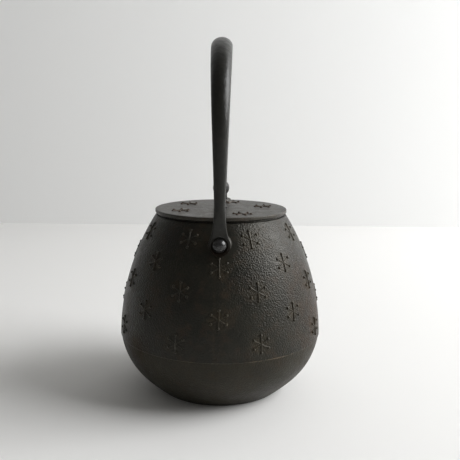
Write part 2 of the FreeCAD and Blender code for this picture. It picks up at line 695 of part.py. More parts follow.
def strainer_band():
    """Band that holds the disc to the wall: a ring round the wall with a lip under the disc."""
    body = new_body("strainer_band")
    inner = "Worked.collar_radius - Dims.sheet_steel"
    under = "Worked.basket_base - Dims.sheet_steel"
    top = "Worked.basket_base + Dims.band_height"
    lip = "Worked.basket_radius - Dims.band_lip"
    turned(body, "band_turned", [
        (lip, under),
        ("Worked.collar_radius", under),
        ("Worked.collar_radius", top),
        (inner, top),
        (inner, "Worked.basket_base"),
        (lip, "Worked.basket_base"),
    ])
    return body


def knob_fixings():
    """Washers above and below the lid and the rivet through them."""
    hole = "Dims.rivet_radius + Dims.press_gap"
    seat = plain_washer("knob_seat", hole, "Worked.seat_radius", "Worked.lid_top", "Worked.knob_base")
    burr = plain_washer("knob_burr", hole, "Dims.burr_radius", "Worked.burr_z", "Worked.flange_top")
    return [seat, burr, knob_rivet()]


def write_parts(pieces):
    """Check every object, then write one STEP file for each piece."""
    doc.recompute()
    for thing in doc.Objects:
        if "Invalid" in thing.State or "Error" in thing.State:
            raise RuntimeError(f"{thing.Name} did not build: {thing.State}")
    os.makedirs("parts", exist_ok=True)
    for piece in pieces:
        if piece.Shape.isNull() or not piece.Shape.isValid() or not piece.Shape.Solids:
            raise RuntimeError(f"{piece.Label} has no valid solid")
        piece.Shape.exportStep(f"parts/{piece.Label}.step")


fill_sheets()
pieces = [bowl_casting(), shoulder_casting(), spout_casting()]
for side, name in ((1, "rear"), (-1, "front")):
    pieces.append(stud(f"{name}_stud", side))
    pieces.append(pivot_washer(f"{name}_washer", side))
pieces += [handle(), lid_plate(), lid_knob()]
pieces += knob_fixings()
pieces += [strainer_rim(), strainer_wall(), strainer_base(), strainer_band()]
write_parts(pieces)
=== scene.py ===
import math

import bmesh
import bpy
from mathutils import Matrix, Vector
from mathutils.kdtree import KDTree


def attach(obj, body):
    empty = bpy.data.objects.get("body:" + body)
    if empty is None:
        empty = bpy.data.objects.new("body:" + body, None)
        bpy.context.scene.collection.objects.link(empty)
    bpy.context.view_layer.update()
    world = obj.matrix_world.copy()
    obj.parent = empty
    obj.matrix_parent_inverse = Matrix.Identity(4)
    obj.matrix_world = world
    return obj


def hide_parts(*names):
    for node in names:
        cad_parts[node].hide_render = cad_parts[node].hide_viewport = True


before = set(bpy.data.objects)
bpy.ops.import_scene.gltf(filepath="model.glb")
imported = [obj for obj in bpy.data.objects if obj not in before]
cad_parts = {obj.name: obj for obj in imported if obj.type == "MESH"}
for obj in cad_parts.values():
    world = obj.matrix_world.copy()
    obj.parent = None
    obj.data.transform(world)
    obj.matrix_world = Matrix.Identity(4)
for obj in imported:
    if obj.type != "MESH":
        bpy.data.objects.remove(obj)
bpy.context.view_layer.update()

MM = 0.001
UP = Vector((0, 0, 1))

# Sizes in millimetres, the same as the solids have. A curve's bend is its radius over its chord.
FOOT_RADIUS = 43.8
FOOT_RING_WIDTH = 9.0
GATE_RADIUS = 11.0
FOOT_RECESS = 1.2
FOOT_BEND = 8.0
BOWL_BEND = 1.49
SHOULDER_BEND = 1.86
BELLY = Vector((71.1, 40.4))
NECK = Vector((45.5, 124.6))
KNEE_SHARES = (0.46, 0.274)
KNEE = Vector((FOOT_RADIUS + KNEE_SHARES[0] * (BELLY.x - FOOT_RADIUS), KNEE_SHARES[1] * BELLY.y))
MOULD_STEP = 0.4
WALL = 3.6
FLOOR = 4.6
THROAT_HEIGHT = NECK.y - 9.0
THROAT_SLOPE = 5.0
LIP_RADIUS = NECK.x - 1.5
LIP_TOP = NECK.y + 1.2
REBATE_RADIUS = LIP_RADIUS - 2.0
REBATE_HEIGHT = LIP_TOP - 0.8
SHEET = 0.6
FLANGE_RADIUS = REBATE_RADIUS - 0.3
FLANGE_TOP = REBATE_HEIGHT + 1.0
COLLAR_RADIUS = FLANGE_RADIUS - 3.6
COLLAR_HEIGHT = 7.0
MOUTH_RADIUS = COLLAR_RADIUS + 1.0
BASKET_RADIUS = COLLAR_RADIUS - SHEET - 0.02
BASKET_BASE = FLANGE_TOP - 46.0
BAND_HEIGHT = 4.0
PIVOT_HEIGHT = NECK.y - 11.5
BOSS_RADIUS = 6.3
BOSS_PROUD = 3.4
EYE_RADIUS = 7.1
EYE_THICKNESS = 3.2
EYE_STANDOFF = 1.1
HEAD_PLAY = 0.3
LID_RADIUS = NECK.x + 0.5
LID_TOP = FLANGE_TOP + 2.4
KNOB_BASE = LID_TOP + 0.8
KNOB_TOP = KNOB_BASE + 19.2
HANDLE_TOP = PIVOT_HEIGHT + 131.3
# Closest points in metres, and the radius in millimetres below which a point is on the axis.
WELD = 1e-6
ON_AXIS = 1e-4
# A rounded corner takes up at most this share of an edge, in this many steps.
CORNER_SHARE = 0.45
CORNER_STEPS = 4
# How far a cutting tool reaches past a face, before and behind it.
CUT_PAST = (2.0, 3.0)
POT_SEGMENTS = 288


def wall_arc(low, high, bend):
    """Centre and radius of a curve of the wall from a low to a high point."""
    half = (high - low) / 2
    radius = 2 * half.length * bend
    reach = math.sqrt(radius ** 2 - half.length ** 2)
    return low + half + Vector((-half.y, half.x)).normalized() * reach, radius


def across(arc, height, inset=0.0):
    """Radius of the pot at a height on one of its curves, less an inset."""
    centre, radius = arc
    return centre.x + math.sqrt((radius - inset) ** 2 - (height - centre.y) ** 2)


BOWL_TOP = BELLY - Vector((MOULD_STEP, 0))
FOOT_ARC = wall_arc(Vector((FOOT_RADIUS, 0)), KNEE, FOOT_BEND)
BOWL_ARC = wall_arc(KNEE, BOWL_TOP, BOWL_BEND)
SHOULDER_ARC = wall_arc(BELLY, NECK, SHOULDER_BEND)
BOSS_FACE = across(SHOULDER_ARC, PIVOT_HEIGHT) + BOSS_PROUD
EYE_MID = BOSS_FACE + EYE_STANDOFF + EYE_THICKNESS / 2
HEAD_SEAT = EYE_MID + EYE_THICKNESS / 2 + HEAD_PLAY


def arc_run(start, end, radius, side, step):
    """Points after start up to end on an arc. Its centre is left of that way for side 1, right for -1."""
    start, end = Vector(start), Vector(end)
    half = (end - start) / 2
    reach = math.sqrt(max(radius ** 2 - half.length ** 2, 0.0))
    left = Vector((-half.y, half.x)).normalized()
    centre = start + half + left * (reach * side)
    first = math.atan2(start.y - centre.y, start.x - centre.x)
    sweep = 2 * math.asin(min(1.0, half.length / radius)) * side
    count = max(2, math.ceil(abs(sweep) * radius / step))
    angles = [first + sweep * k / count for k in range(1, count + 1)]
    return [centre + Vector((math.cos(a), math.sin(a))) * radius for a in angles]


def outline(corners, step=1.6):
    """Open run of points through corners (across, up, radius, side); radius bends the edge that follows."""
    run = [Vector(corners[0][:2])]
    for corner, following in zip(corners, corners[1:]):
        if len(corner) == 4:
            run += arc_run(corner[:2], following[:2], corner[2], corner[3], step)
        else:
            run.append(Vector(following[:2]))
    return run


def soften(run, radius, closed=False, turn=25):
    """Round every corner of a run that turns by more than turn degrees."""
    soft = []
    count = len(run)
    for index, point in enumerate(run):
        if not closed and index in (0, count - 1):
            soft.append(point)
            continue
        back = run[index - 1] - point
        ahead = run[(index + 1) % count] - point
        bend = math.pi - back.angle(ahead, 0.0)
        if math.degrees(bend) < turn:
            soft.append(point)
            continue
        trim = min(radius * math.tan(bend / 2), CORNER_SHARE * back.length, CORNER_SHARE * ahead.length)
        enter = point + back.normalized() * trim
        leave = point + ahead.normalized() * trim
        for k in range(CORNER_STEPS + 1):
            f = k / CORNER_STEPS
            soft.append(enter.lerp(point, f).lerp(point.lerp(leave, f), f))
    return soft


def linked(name, data):
    """New object in the scene."""
    thing = bpy.data.objects.new(name, data)
    bpy.context.collection.objects.link(thing)
    return thing


def mesh_object(name, bm, sharp=35):
    """Close a bmesh into an object with outward faces and smooth shading."""
    bmesh.ops.remove_doubles(bm, verts=bm.verts, dist=WELD)
    bmesh.ops.recalc_face_normals(bm, faces=bm.faces)
    mesh = bpy.data.meshes.new(name)
    bm.to_mesh(mesh)
    bm.free()
    mesh.shade_smooth()
    mesh.set_sharp_from_angle(angle=math.radians(sharp))
    return linked(name, mesh)


def circle(count):
    """Cosine and sine of evenly spaced angles, once round."""
    angles = [math.tau * k / count for k in range(count)]
    return [(math.cos(a), math.sin(a)) for a in angles]


def section_ring(bm, middle, way, section):
    """Vertices of a section (side, out) set square to a way (y, z) at a middle (y, z)."""
    spots = [Vector((side, middle.x - way.y * out, middle.y + way.x * out)) for side, out in section]
    return [bm.verts.new(spot * MM) for spot in spots]


def skin(bm, rings, closed_ends=True):
    """Quads between rings of vertices that have the same count."""
    for low, high in zip(rings, rings[1:]):
        for k in range(len(low)):
            j = (k + 1) % len(low)
            bm.faces.new((low[k], low[j], high[j], high[k]))
    if closed_ends:
        bm.faces.new(rings[0][::-1])
        bm.faces.new(rings[-1])


def turned(name, run, segments=192, closed=False, sharp=35):
    """Turn a run of (radius, height) round Z. A run that starts and ends on the axis closes by itself."""
    bm = bmesh.new()
    rings = []
    for point in run:
        if point.x < ON_AXIS:
            rings.append([bm.verts.new((0, 0, point.y * MM))] * segments)
            continue
        spots = [Vector((point.x * s, -point.x * c, point.y)) for c, s in circle(segments)]
        rings.append([bm.verts.new(spot * MM) for spot in spots])
    pairs = list(zip(rings, rings[1:]))
    if closed:
        pairs.append((rings[-1], rings[0]))
    for low, high in pairs:
        for k in range(segments):
            j = (k + 1) % segments
            corners = list(dict.fromkeys((low[k], low[j], high[j], high[k])))
            if len(corners) > 2:
                bm.faces.new(corners)
    return mesh_object(name, bm, sharp)


def plain_copy(thing, sharp=None):
    """Give an object the plain mesh that its modifiers make."""
    evaluated = thing.evaluated_get(bpy.context.evaluated_depsgraph_get())
    mesh = bpy.data.meshes.new_from_object(evaluated)
    thing.modifiers.clear()
    thing.data = mesh
    if sharp:
        mesh.shade_smooth()
        mesh.set_sharp_from_angle(angle=math.radians(sharp))
    return thing


def carve(thing, tool, operation, sharp=35):
    """Join a tool to a piece (UNION) or cut it out (DIFFERENCE), then discard the tool."""
    step = thing.modifiers.new("carve", "BOOLEAN")
    step.operation = operation
    step.object = tool
    step.solver = "EXACT"
    bpy.context.view_layer.update()
    plain_copy(thing, sharp)
    bpy.data.objects.remove(tool)
    return thing


def discard(*things):
    """Remove helpers that are no part of the object."""
    for thing in things:
        bpy.data.objects.remove(thing)


def ease(low, high, value):
    """0 below low, 1 above high and a smooth change between them."""
    f = min(1.0, max(0.0, (value - low) / (high - low)))
    return f * f * (3 - 2 * f)


# The pot

BOSS_ROOT = 2.4
BOSS_SUNK = 3.0
BOSS_EDGE = 0.4
BOSS_SEGMENTS = 72
# Least radius of the soft root, its share of the boss's height and its steps.
LEAST_ROOT = 0.2
ROOT_SHARE = 0.6
ROOT_STEPS = 6
MOULD_LINE_DROP = 0.3


def wall_depth(x, z):
    """Distance of the shoulder's skin from the XZ plane."""
    return math.sqrt(across(SHOULDER_ARC, z) ** 2 - x ** 2)


def boss(side):
    """Round lug behind a handle eye, with a flat face and a soft cast root that follows the wall."""
    bm = bmesh.new()
    columns = []
    for way in map(Vector, circle(BOSS_SEGMENTS)):

        def skin_at(radius):
            return wall_depth(way.x * radius, PIVOT_HEIGHT + way.y * radius)

        root = min(BOSS_ROOT, max(LEAST_ROOT, ROOT_SHARE * (BOSS_FACE - skin_at(BOSS_RADIUS))))
        edge = min(BOSS_EDGE, root / 2)
        foot = skin_at(BOSS_RADIUS + root)
        column = [(BOSS_RADIUS - edge, BOSS_FACE), (BOSS_RADIUS, BOSS_FACE - edge)]
        for step in range(ROOT_STEPS + 1):
            turn = math.pi / 2 * step / ROOT_STEPS
            out = BOSS_RADIUS + root * (1 - math.cos(turn))
            column.append((out, foot + root * (1 - math.sin(turn))))
        column.append((BOSS_RADIUS + root, foot - BOSS_SUNK))
        columns.append([(way * out, deep) for out, deep in column])
    rings = []
    for ring in zip(*columns):
        spots = [Vector((flat.x, side * deep, PIVOT_HEIGHT + flat.y)) for flat, deep in ring]
        rings.append([bm.verts.new(spot * MM) for spot in spots])
    skin(bm, rings)
    return mesh_object("boss", bm)


def pot_outside():
    """Outline of the pot from the middle of the foot to the middle of the mouth."""
    ring = FOOT_RADIUS - FOOT_RING_WIDTH
    low = outline([
        (0, 0), (GATE_RADIUS, 0), (GATE_RADIUS, FOOT_RECESS), (ring, FOOT_RECESS), (ring, 0),
        (FOOT_RADIUS, 0, FOOT_ARC[1], 1),
        (*KNEE, BOWL_ARC[1], 1),
        (BOWL_TOP.x, BOWL_TOP.y - MOULD_LINE_DROP),
    ])
    high = outline([
        (*BELLY, SHOULDER_ARC[1], 1),
        tuple(NECK),
        (LIP_RADIUS, NECK.y), (LIP_RADIUS, LIP_TOP), (0, LIP_TOP),
    ], step=0.9)
    return soften(low + high, radius=0.5)


def pot_inside():
    """Outline of the hollow, with the rebate that the strainer hangs in."""
    above = LIP_TOP + CUT_PAST[1]
    knee = KNEE - (KNEE - BOWL_ARC[0]) * (WALL / BOWL_ARC[1])
    return soften(outline([
        (0, FLOOR),
        (across(FOOT_ARC, FLOOR, WALL), FLOOR, FOOT_ARC[1] - WALL, 1),
        (*knee, BOWL_ARC[1] - WALL, 1),
        (BELLY.x - WALL, BELLY.y, SHOULDER_ARC[1] - WALL, 1),
        (across(SHOULDER_ARC, THROAT_HEIGHT, WALL), THROAT_HEIGHT),
        (MOUTH_RADIUS, THROAT_HEIGHT + THROAT_SLOPE),
        (MOUTH_RADIUS, REBATE_HEIGHT), (REBATE_RADIUS, REBATE_HEIGHT), (REBATE_RADIUS, above), (0, above),
    ], step=4.0), radius=0.4)


SPOUT_LEAN = (30.0, 70.0)
SPOUT_RADII = (17.0, 7.3)
SPOUT_WALL = 2.3
SPOUT_GAP = 7.7
SPOUT_SUNK = 6.0
SPOUT_REACH = 25.1
TIP_DROP = 2.5
# Height of the flare at the root, and the share of the length in which it fades.
SPOUT_FLARE = (4.5, 0.11)
# Way back from the tip as a share of the length, and what the radius loses there.
TIP_ROUNDING = ((0.028, 0.0), (0.012, 0.18), (0.003, 0.5), (0.0, 0.9))
SPOUT_STATIONS = 36
SPOUT_AROUND = 64
# First and last place along the axis, of the spout and of its bore.
SPOUT_RUN = (-0.1, 1.0)
BORE_RUN = (-0.35, 1.06)
ROOT_RISE = SPOUT_RADII[0] * math.cos(math.radians(SPOUT_LEAN[0]))
ROOT_HEIGHT = PIVOT_HEIGHT - BOSS_RADIUS - SPOUT_GAP - ROOT_RISE
ROOT_SKIN = across(SHOULDER_ARC, ROOT_HEIGHT)
SPOUT_ROOT = Vector((ROOT_SKIN - SPOUT_SUNK, ROOT_HEIGHT))
SPOUT_TIP = Vector((ROOT_SKIN + SPOUT_REACH, LIP_TOP - TIP_DROP))


def spout_tube(name, inset, first, last, rounding):
    """Tube along the bent axis of the spout from first to last (0 root, 1 tip), closed at both ends."""
    low, high = (math.radians(a) for a in SPOUT_LEAN)
    run = SPOUT_TIP - SPOUT_ROOT
    arm = (run.x * math.sin(high) - run.y * math.cos(high)) / math.sin(high - low)
    bend = SPOUT_ROOT + Vector((math.cos(low), math.sin(low))) * arm
    bm = bmesh.new()
    rings = []
    stations = [(first + (last - first) * k / SPOUT_STATIONS, 0.0) for k in range(SPOUT_STATIONS + 1)]
    if rounding:
        stations[-1:] = [(last - back, trim) for back, trim in TIP_ROUNDING]
    for along, trim in stations:
        middle = SPOUT_ROOT.lerp(bend, along).lerp(bend.lerp(SPOUT_TIP, along), along)
        way = (bend - SPOUT_ROOT).lerp(SPOUT_TIP - bend, along).normalized()
        flare = SPOUT_FLARE[0] * math.exp(-max(along, 0.0) / SPOUT_FLARE[1])
        radius = SPOUT_RADII[1] + (SPOUT_RADII[0] - SPOUT_RADII[1]) * (1 - along) ** 2
        radius += (flare if rounding else 0) - inset - trim
        section = [(radius * c, radius * s) for c, s in circle(SPOUT_AROUND)]
        rings.append(section_ring(bm, middle, way, section))
    skin(bm, rings)
    return mesh_object(name, bm)


def make_pot():
    """Pot, bosses and spout in one skin, hollow and open at mouth and spout."""
    pot = turned("pot", pot_outside(), POT_SEGMENTS)
    for side in (-1, 1):
        carve(pot, boss(side), "UNION")
    carve(pot, spout_tube("spout", 0.0, *SPOUT_RUN, True), "UNION")
    carve(pot, turned("cavity", pot_inside(), segments=144), "DIFFERENCE")
    carve(pot, spout_tube("bore", SPOUT_WALL, *BORE_RUN, False), "DIFFERENCE", sharp=32)
    return pot


# Handle

# Half width and half depth at the crown, where the arch springs and above the eye.
CROWN = (7.2, 6.2)
SPRING = (4.95, 3.9)
ANKLE = (3.65, 2.7)
ANKLE_RISE = 27.0
FLARE_RISE = 18.0
SPRING_HEIGHT = HANDLE_TOP - CROWN[1] - EYE_MID
SPRING_RISE = SPRING_HEIGHT - PIVOT_HEIGHT
CHEEK_RISE = 0.42 * EYE_RADIUS
CHEEK_HALF = math.sqrt(EYE_RADIUS ** 2 - CHEEK_RISE ** 2)
# Rise above the pivot, half width and slope of the leg from the eye's cheek up to the arch.
CHEEK_KNOT = (CHEEK_RISE, CHEEK_HALF, -CHEEK_RISE / CHEEK_HALF)
FLARE_KNOT = (FLARE_RISE, ANKLE[0] + 0.25, -0.05)
ANKLE_KNOT = (ANKLE_RISE, ANKLE[0], 0.025)
SPRING_KNOT = (SPRING_RISE, SPRING[0], 0.036)
# The same for the half depth.
ANKLE_DEPTH = (ANKLE_RISE, ANKLE[1], 0.01)
SPRING_DEPTH = (SPRING_RISE, SPRING[1], 0.03)
# Rises between which the flat eye turns into the oval leg, power of the oval and what the eye adds to it.
FLAT_EDGE = (7.0, 24.0)
OVAL = 2.0
SQUARER = 3.0
# Keeps the foot of the eye from closing to nothing.
LEAST_SQUARE = 0.01
# Rises of the stations on the eye, as shares of its radius.
EYE_RISES = (-0.995, -0.97, -0.92, -0.82, -0.66, -0.45, -0.2, 0.05, 0.25, 0.42)
LEG_STEPS = 90
ARCH_STEPS = 180
HANDLE_AROUND = 56
EYE_HOLE = 3.3
# Dish round the eye's hole: radius of its floor and rim, depth, and how far the rim passes the face.
DISH = (4.7, 5.5)
DISH_DEPTH = 0.75
DISH_LIFT = 0.02
VENT_RADIUS = 1.2
HANDLE_SHARP = 40


def hermite(x, start, end):
    """Smooth value between (x, value, slope) and (x, value, slope)."""
    span = end[0] - start[0]
    f = (x - start[0]) / span
    a = start[1] * (1 + 2 * f) * (1 - f) ** 2 + end[1] * f * f * (3 - 2 * f)
    return a + span * (start[2] * f * (1 - f) ** 2 - end[2] * f * f * (1 - f))


def leg_section(rise):
    """Half width, half depth and squareness of a leg at a height above the pivot."""
    if rise <= CHEEK_RISE:
        half = math.sqrt(max(EYE_RADIUS ** 2 - rise ** 2, LEAST_SQUARE))
    elif rise <= FLARE_RISE:
        half = hermite(rise, CHEEK_KNOT, FLARE_KNOT)
    elif rise <= ANKLE_RISE:
        half = hermite(rise, FLARE_KNOT, ANKLE_KNOT)
    else:
        half = hermite(rise, ANKLE_KNOT, SPRING_KNOT)
    flat = 1 - ease(*FLAT_EDGE, rise)
    round_depth = ANKLE[1] if rise < ANKLE_RISE else hermite(rise, ANKLE_DEPTH, SPRING_DEPTH)
    depth = round_depth + (EYE_THICKNESS / 2 - round_depth) * flat
    return half, depth, OVAL + SQUARER * flat


def handle_stations():
    """Middle (y, z), way (y, z), half width, half depth and squareness along the whole bail."""
    rises = [EYE_RADIUS * share for share in EYE_RISES]
    top = rises[-1]
    rises += [top + (SPRING_RISE - top) * k / LEG_STEPS for k in range(1, LEG_STEPS + 1)]
    leg = []
    for rise in rises:
        leg.append((Vector((-EYE_MID, PIVOT_HEIGHT + rise)), Vector((0, 1)), *leg_section(rise)))
    arch = []
    for k in range(1, ARCH_STEPS):
        angle = math.pi * k / ARCH_STEPS
        grow = math.sin(angle)
        middle = Vector((-math.cos(angle), math.sin(angle))) * EYE_MID + Vector((0, SPRING_HEIGHT))
        way = Vector((math.sin(angle), math.cos(angle)))
        half = SPRING[0] + (CROWN[0] - SPRING[0]) * grow
        depth = SPRING[1] + (CROWN[1] - SPRING[1]) * grow
        arch.append((middle, way, half, depth, OVAL))
    other = [(Vector((-m.x, m.y)), Vector((w.x, -w.y)), h, d, s) for m, w, h, d, s in reversed(leg)]
    return leg + arch + other


def turn_to_pivot(thing, side):
    """Lay a piece turned about Z along the pivot line, pointing out at the rear (-1) or front (1)."""
    quarter = Matrix.Rotation(math.radians(-90 * side), 4, "X")
    thing.data.transform(Matrix.Translation((0, 0, PIVOT_HEIGHT * MM)) @ quarter)
    return thing


def make_handle():
    """Bail with a dished, pierced eye at each end and a vent under the crown."""
    bm = bmesh.new()
    rings = []
    for middle, way, half, depth, square in handle_stations():
        section = []
        for c, s in circle(HANDLE_AROUND):
            wide = half * math.copysign(abs(c) ** (2 / square), c)
            section.append((wide, depth * math.copysign(abs(s) ** (2 / square), s)))
        rings.append(section_ring(bm, middle, way, section))
    skin(bm, rings)
    bail = mesh_object("bail", bm)
    face = EYE_MID + EYE_THICKNESS / 2
    low, floor, high = BOSS_FACE - CUT_PAST[0], face - DISH_DEPTH, face + CUT_PAST[1]
    dish = outline([
        (0, low), (EYE_HOLE, low), (EYE_HOLE, floor), (DISH[0], floor), (DISH[1], face + DISH_LIFT),
        (DISH[1], high), (0, high)])
    for side in (-1, 1):
        tool = turn_to_pivot(turned("dish", soften(dish, radius=0.2), segments=64), side)
        carve(bail, tool, "DIFFERENCE", HANDLE_SHARP)
    underside = HANDLE_TOP - 2 * CROWN[1]
    low, high = underside - CUT_PAST[0], underside + CUT_PAST[1]
    vent = outline([(0, low), (VENT_RADIUS, low), (VENT_RADIUS, high), (0, high)])
    return carve(bail, turned("vent", vent, segments=24), "DIFFERENCE", HANDLE_SHARP)


SHANK_RADIUS = 2.4
SHANK_DEPTH = 5.0
JOURNAL_RADIUS = 3.0
HEAD_RADIUS = 4.35
HEAD_HEIGHT = 3.2
HEAD_EDGE = 0.25


def make_stud(name, side):
    """Stud with a shank in the boss, a journal in the eye and a domed head."""
    low, seat = BOSS_FACE - SHANK_DEPTH, HEAD_SEAT
    dome = (HEAD_RADIUS ** 2 + HEAD_HEIGHT ** 2) / (2 * HEAD_HEIGHT)
    run = outline([
        (0, low), (SHANK_RADIUS, low), (SHANK_RADIUS, BOSS_FACE),
        (JOURNAL_RADIUS, BOSS_FACE), (JOURNAL_RADIUS, seat), (HEAD_RADIUS - HEAD_EDGE, seat),
        (HEAD_RADIUS, seat + HEAD_EDGE, dome, 1), (0, seat + HEAD_HEIGHT)], step=0.3)
    return turn_to_pivot(turned(name, soften(run, radius=0.15), segments=64), side)


# Lid

SKIRT = (BASKET_RADIUS - SHEET - 3.2, BASKET_RADIUS - SHEET - 1.0)
SKIRT_DEPTH = 6.0
RIVET_HOLE = 1.92
# Radius and height of the lid's face from the rim to the knob; it dips a little.
LID_FACE = ((LID_RADIUS - 5, LID_TOP), (LID_RADIUS - 16, LID_TOP - 0.15), (12, LID_TOP - 0.1))
LID_GUIDE_INSET = 1.0
KNOB_BALL = 5.75
KNOB_NECK = 2.9
KNOB_FOOT = 4.2
KNOB_FLARE = 9.6
KNOB_BORE = 9.02


def make_lid():
    """Flat lid with a rounded edge and a skirt under it."""
    low = FLANGE_TOP - SKIRT_DEPTH
    run = outline([
        (RIVET_HOLE, FLANGE_TOP), (SKIRT[0], FLANGE_TOP), (SKIRT[0], low), (SKIRT[1], low),
        (SKIRT[1], FLANGE_TOP), (LID_RADIUS, FLANGE_TOP), (LID_RADIUS, LID_TOP), *LID_FACE,
        (RIVET_HOLE, LID_TOP)])
    return turned("lid", soften(run, radius=0.7, closed=True), closed=True)


def make_knob():
    """Ball on a flared neck, bored from below for its rivet."""
    ball = KNOB_BALL
    under = KNOB_TOP - ball - math.sqrt(ball ** 2 - KNOB_NECK ** 2)
    run = outline([
        (RIVET_HOLE, KNOB_BASE), (KNOB_FOOT, KNOB_BASE, KNOB_FLARE, -1), (KNOB_NECK, under, ball, 1),
        (ball, KNOB_TOP - ball, ball, 1), (0, KNOB_TOP)], step=0.5)
    run = soften(run, radius=0.3)
    run += [Vector((0, KNOB_BASE + KNOB_BORE)), Vector((RIVET_HOLE, KNOB_BASE + KNOB_BORE))]
    return turned("knob", run, segments=72, closed=True)


# Snowflakes in relief

def set_mark(thing, name, values):
    """Keep a number on each point for a finish or a node tree to read."""
    thing.data.attributes.new(name, "FLOAT", "POINT").data.foreach_set("value", values)


FLAKE_RADIUS = 5.75
# Half width and rise of the upright bar, then of the two slanting ones.
BARS = ((0.55, 0.64), (0.42, 0.38), (0.42, 0.38))
DOT_RADIUS = 1.0
DOT_RISE = 0.95
SINK = 0.35
BAR_STEPS = 12
BAR_SIDES = 6


def flake_stamp(name):
    """One snowflake lying on its back: three half-round bars that cross, with a bead on each end."""
    bm = bmesh.new()
    for bar, (half_width, bar_rise) in enumerate(BARS):
        angle = math.radians(90 + 60 * bar)
        way = Vector((math.cos(angle), math.sin(angle), 0))
        side = Vector((-way.y, way.x, 0))
        rings = []
        for k in range(BAR_STEPS + 1):
            along = way * (FLAKE_RADIUS * (2 * k / BAR_STEPS - 1))
            ring = []
            for j in range(BAR_SIDES + 1):
                turn = math.pi * j / BAR_SIDES
                rise = bar_rise * math.sin(turn) if 0 < j < BAR_SIDES else -SINK
                spot = along + side * half_width * math.cos(turn) + UP * rise
                ring.append(bm.verts.new(spot * MM))
            rings.append(ring)
        skin(bm, rings)
        for end in (-1, 1):
            bead = bmesh.ops.create_uvsphere(bm, u_segments=12, v_segments=8, radius=1.0)
            for vert in bead["verts"]:
                rise = vert.co.z * (DOT_RISE if vert.co.z > 0 else SINK)
                flat = Vector((vert.co.x, vert.co.y, 0)) * DOT_RADIUS
                vert.co = (flat + way * (FLAKE_RADIUS * end) + UP * rise) * MM
    stamp = mesh_object(name, bm, sharp=50)
    set_mark(stamp, "rise", [vert.co.z for vert in stamp.data.vertices])
    return stamp


def connect(tree, node, inputs):
    """Give inputs of a node a plain value or the output that they link to. Inputs 0 to 4 of Map Range are
    the value, both ends it comes from and both it goes to; 0, 6 and 7 of Mix are factor and colours."""
    for key, value in inputs.items():
        socket = node.inputs[key]
        if isinstance(value, bpy.types.NodeSocket):
            tree.links.new(value, socket)
        else:
            socket.default_value = value


def add(tree, kind, inputs=None, **settings):
    """Add a node with its settings and inputs."""
    node = tree.nodes.new(kind)
    for key, value in settings.items():
        setattr(node, key, value)
    connect(tree, node, inputs or {})
    return node


def new_tree(name, sockets):
    """Geometry node tree with named inputs and one geometry output."""
    tree = bpy.data.node_groups.new(name, "GeometryNodeTree")
    for label, kind in [("Geometry", "NodeSocketGeometry")] + sockets:
        tree.interface.new_socket(name=label, in_out="INPUT", socket_type=kind)
    tree.interface.new_socket(name="Geometry", in_out="OUTPUT", socket_type="NodeSocketGeometry")
    return tree, add(tree, "NodeGroupInput").outputs


def lay_copies(tree, given, label, turn):
    """Lay a copy of the object in a named input on every point, with its turn, and make it real."""
    model = add(tree, "GeometryNodeObjectInfo", {"Object": given[label]})
    placed = add(tree, "GeometryNodeInstanceOnPoints", {
        "Points": given["Geometry"], "Instance": model.outputs["Geometry"], "Rotation": turn.outputs[0]})
    return add(tree, "GeometryNodeRealizeInstances", {"Geometry": placed.outputs[0]})


def flake_tree():
    """Stamp a flake on every point, tilt it a little at random and press it onto the wall."""
    tree, given = new_tree("press_flakes", [
        ("Stamp", "NodeSocketObject"), ("Wall", "NodeSocketObject"), ("Metal", "NodeSocketMaterial"),
        ("Tilt", "NodeSocketFloat"), ("Seed", "NodeSocketInt")])
    wall = add(tree, "GeometryNodeObjectInfo", {"Object": given["Wall"]})
    facing = add(tree, "GeometryNodeInputNamedAttribute", {"Name": "facing"}, data_type="QUATERNION")
    less = add(tree, "ShaderNodeMath", {0: given["Tilt"], 1: -1.0}, operation="MULTIPLY")
    tilt = add(tree, "FunctionNodeRandomValue", {
        2: less.outputs[0], 3: given["Tilt"], "Seed": given["Seed"]})
    spin = add(tree, "ShaderNodeCombineXYZ", {"Z": tilt.outputs[1]})
    swing = add(tree, "FunctionNodeEulerToRotation", {"Euler": spin.outputs[0]})
    turn = add(tree, "FunctionNodeRotateRotation", {
        0: facing.outputs[0], 1: swing.outputs[0]}, rotation_space="LOCAL")
    real = lay_copies(tree, given, "Stamp", turn)
    near = add(tree, "GeometryNodeProximity", {0: wall.outputs["Geometry"]}, target_element="FACES")
    normal = add(tree, "GeometryNodeInputNormal")
    out = add(tree, "GeometryNodeSampleNearestSurface", {
        "Mesh": wall.outputs["Geometry"], "Value": normal.outputs[0]}, data_type="FLOAT_VECTOR")
    rise = add(tree, "GeometryNodeInputNamedAttribute", {"Name": "rise"}, data_type="FLOAT")
    lift = add(tree, "ShaderNodeVectorMath", {
        0: out.outputs[0], "Scale": rise.outputs[0]}, operation="SCALE")
    spot = add(tree, "ShaderNodeVectorMath", {
        0: near.outputs["Position"], 1: lift.outputs[0]}, operation="ADD")
    pressed = add(tree, "GeometryNodeSetPosition", {
        "Geometry": real.outputs[0], "Position": spot.outputs[0]})
    metal = add(tree, "GeometryNodeSetMaterial", {
        "Geometry": pressed.outputs[0], "Material": given["Metal"]})
    add(tree, "NodeGroupOutput", {0: metal.outputs[0]})
    return tree


def run_tree(thing, tree, **values):
    """Run a geometry node tree on an object with named inputs and keep the plain mesh."""
    step = thing.modifiers.new("made", "NODES")
    step.node_group = tree
    sockets = {item.name: item.identifier for item in tree.interface.items_tree if item.in_out == "INPUT"}
    for name, value in values.items():
        step[sockets[name]] = value
    bpy.context.view_layer.update()
    return plain_copy(thing)


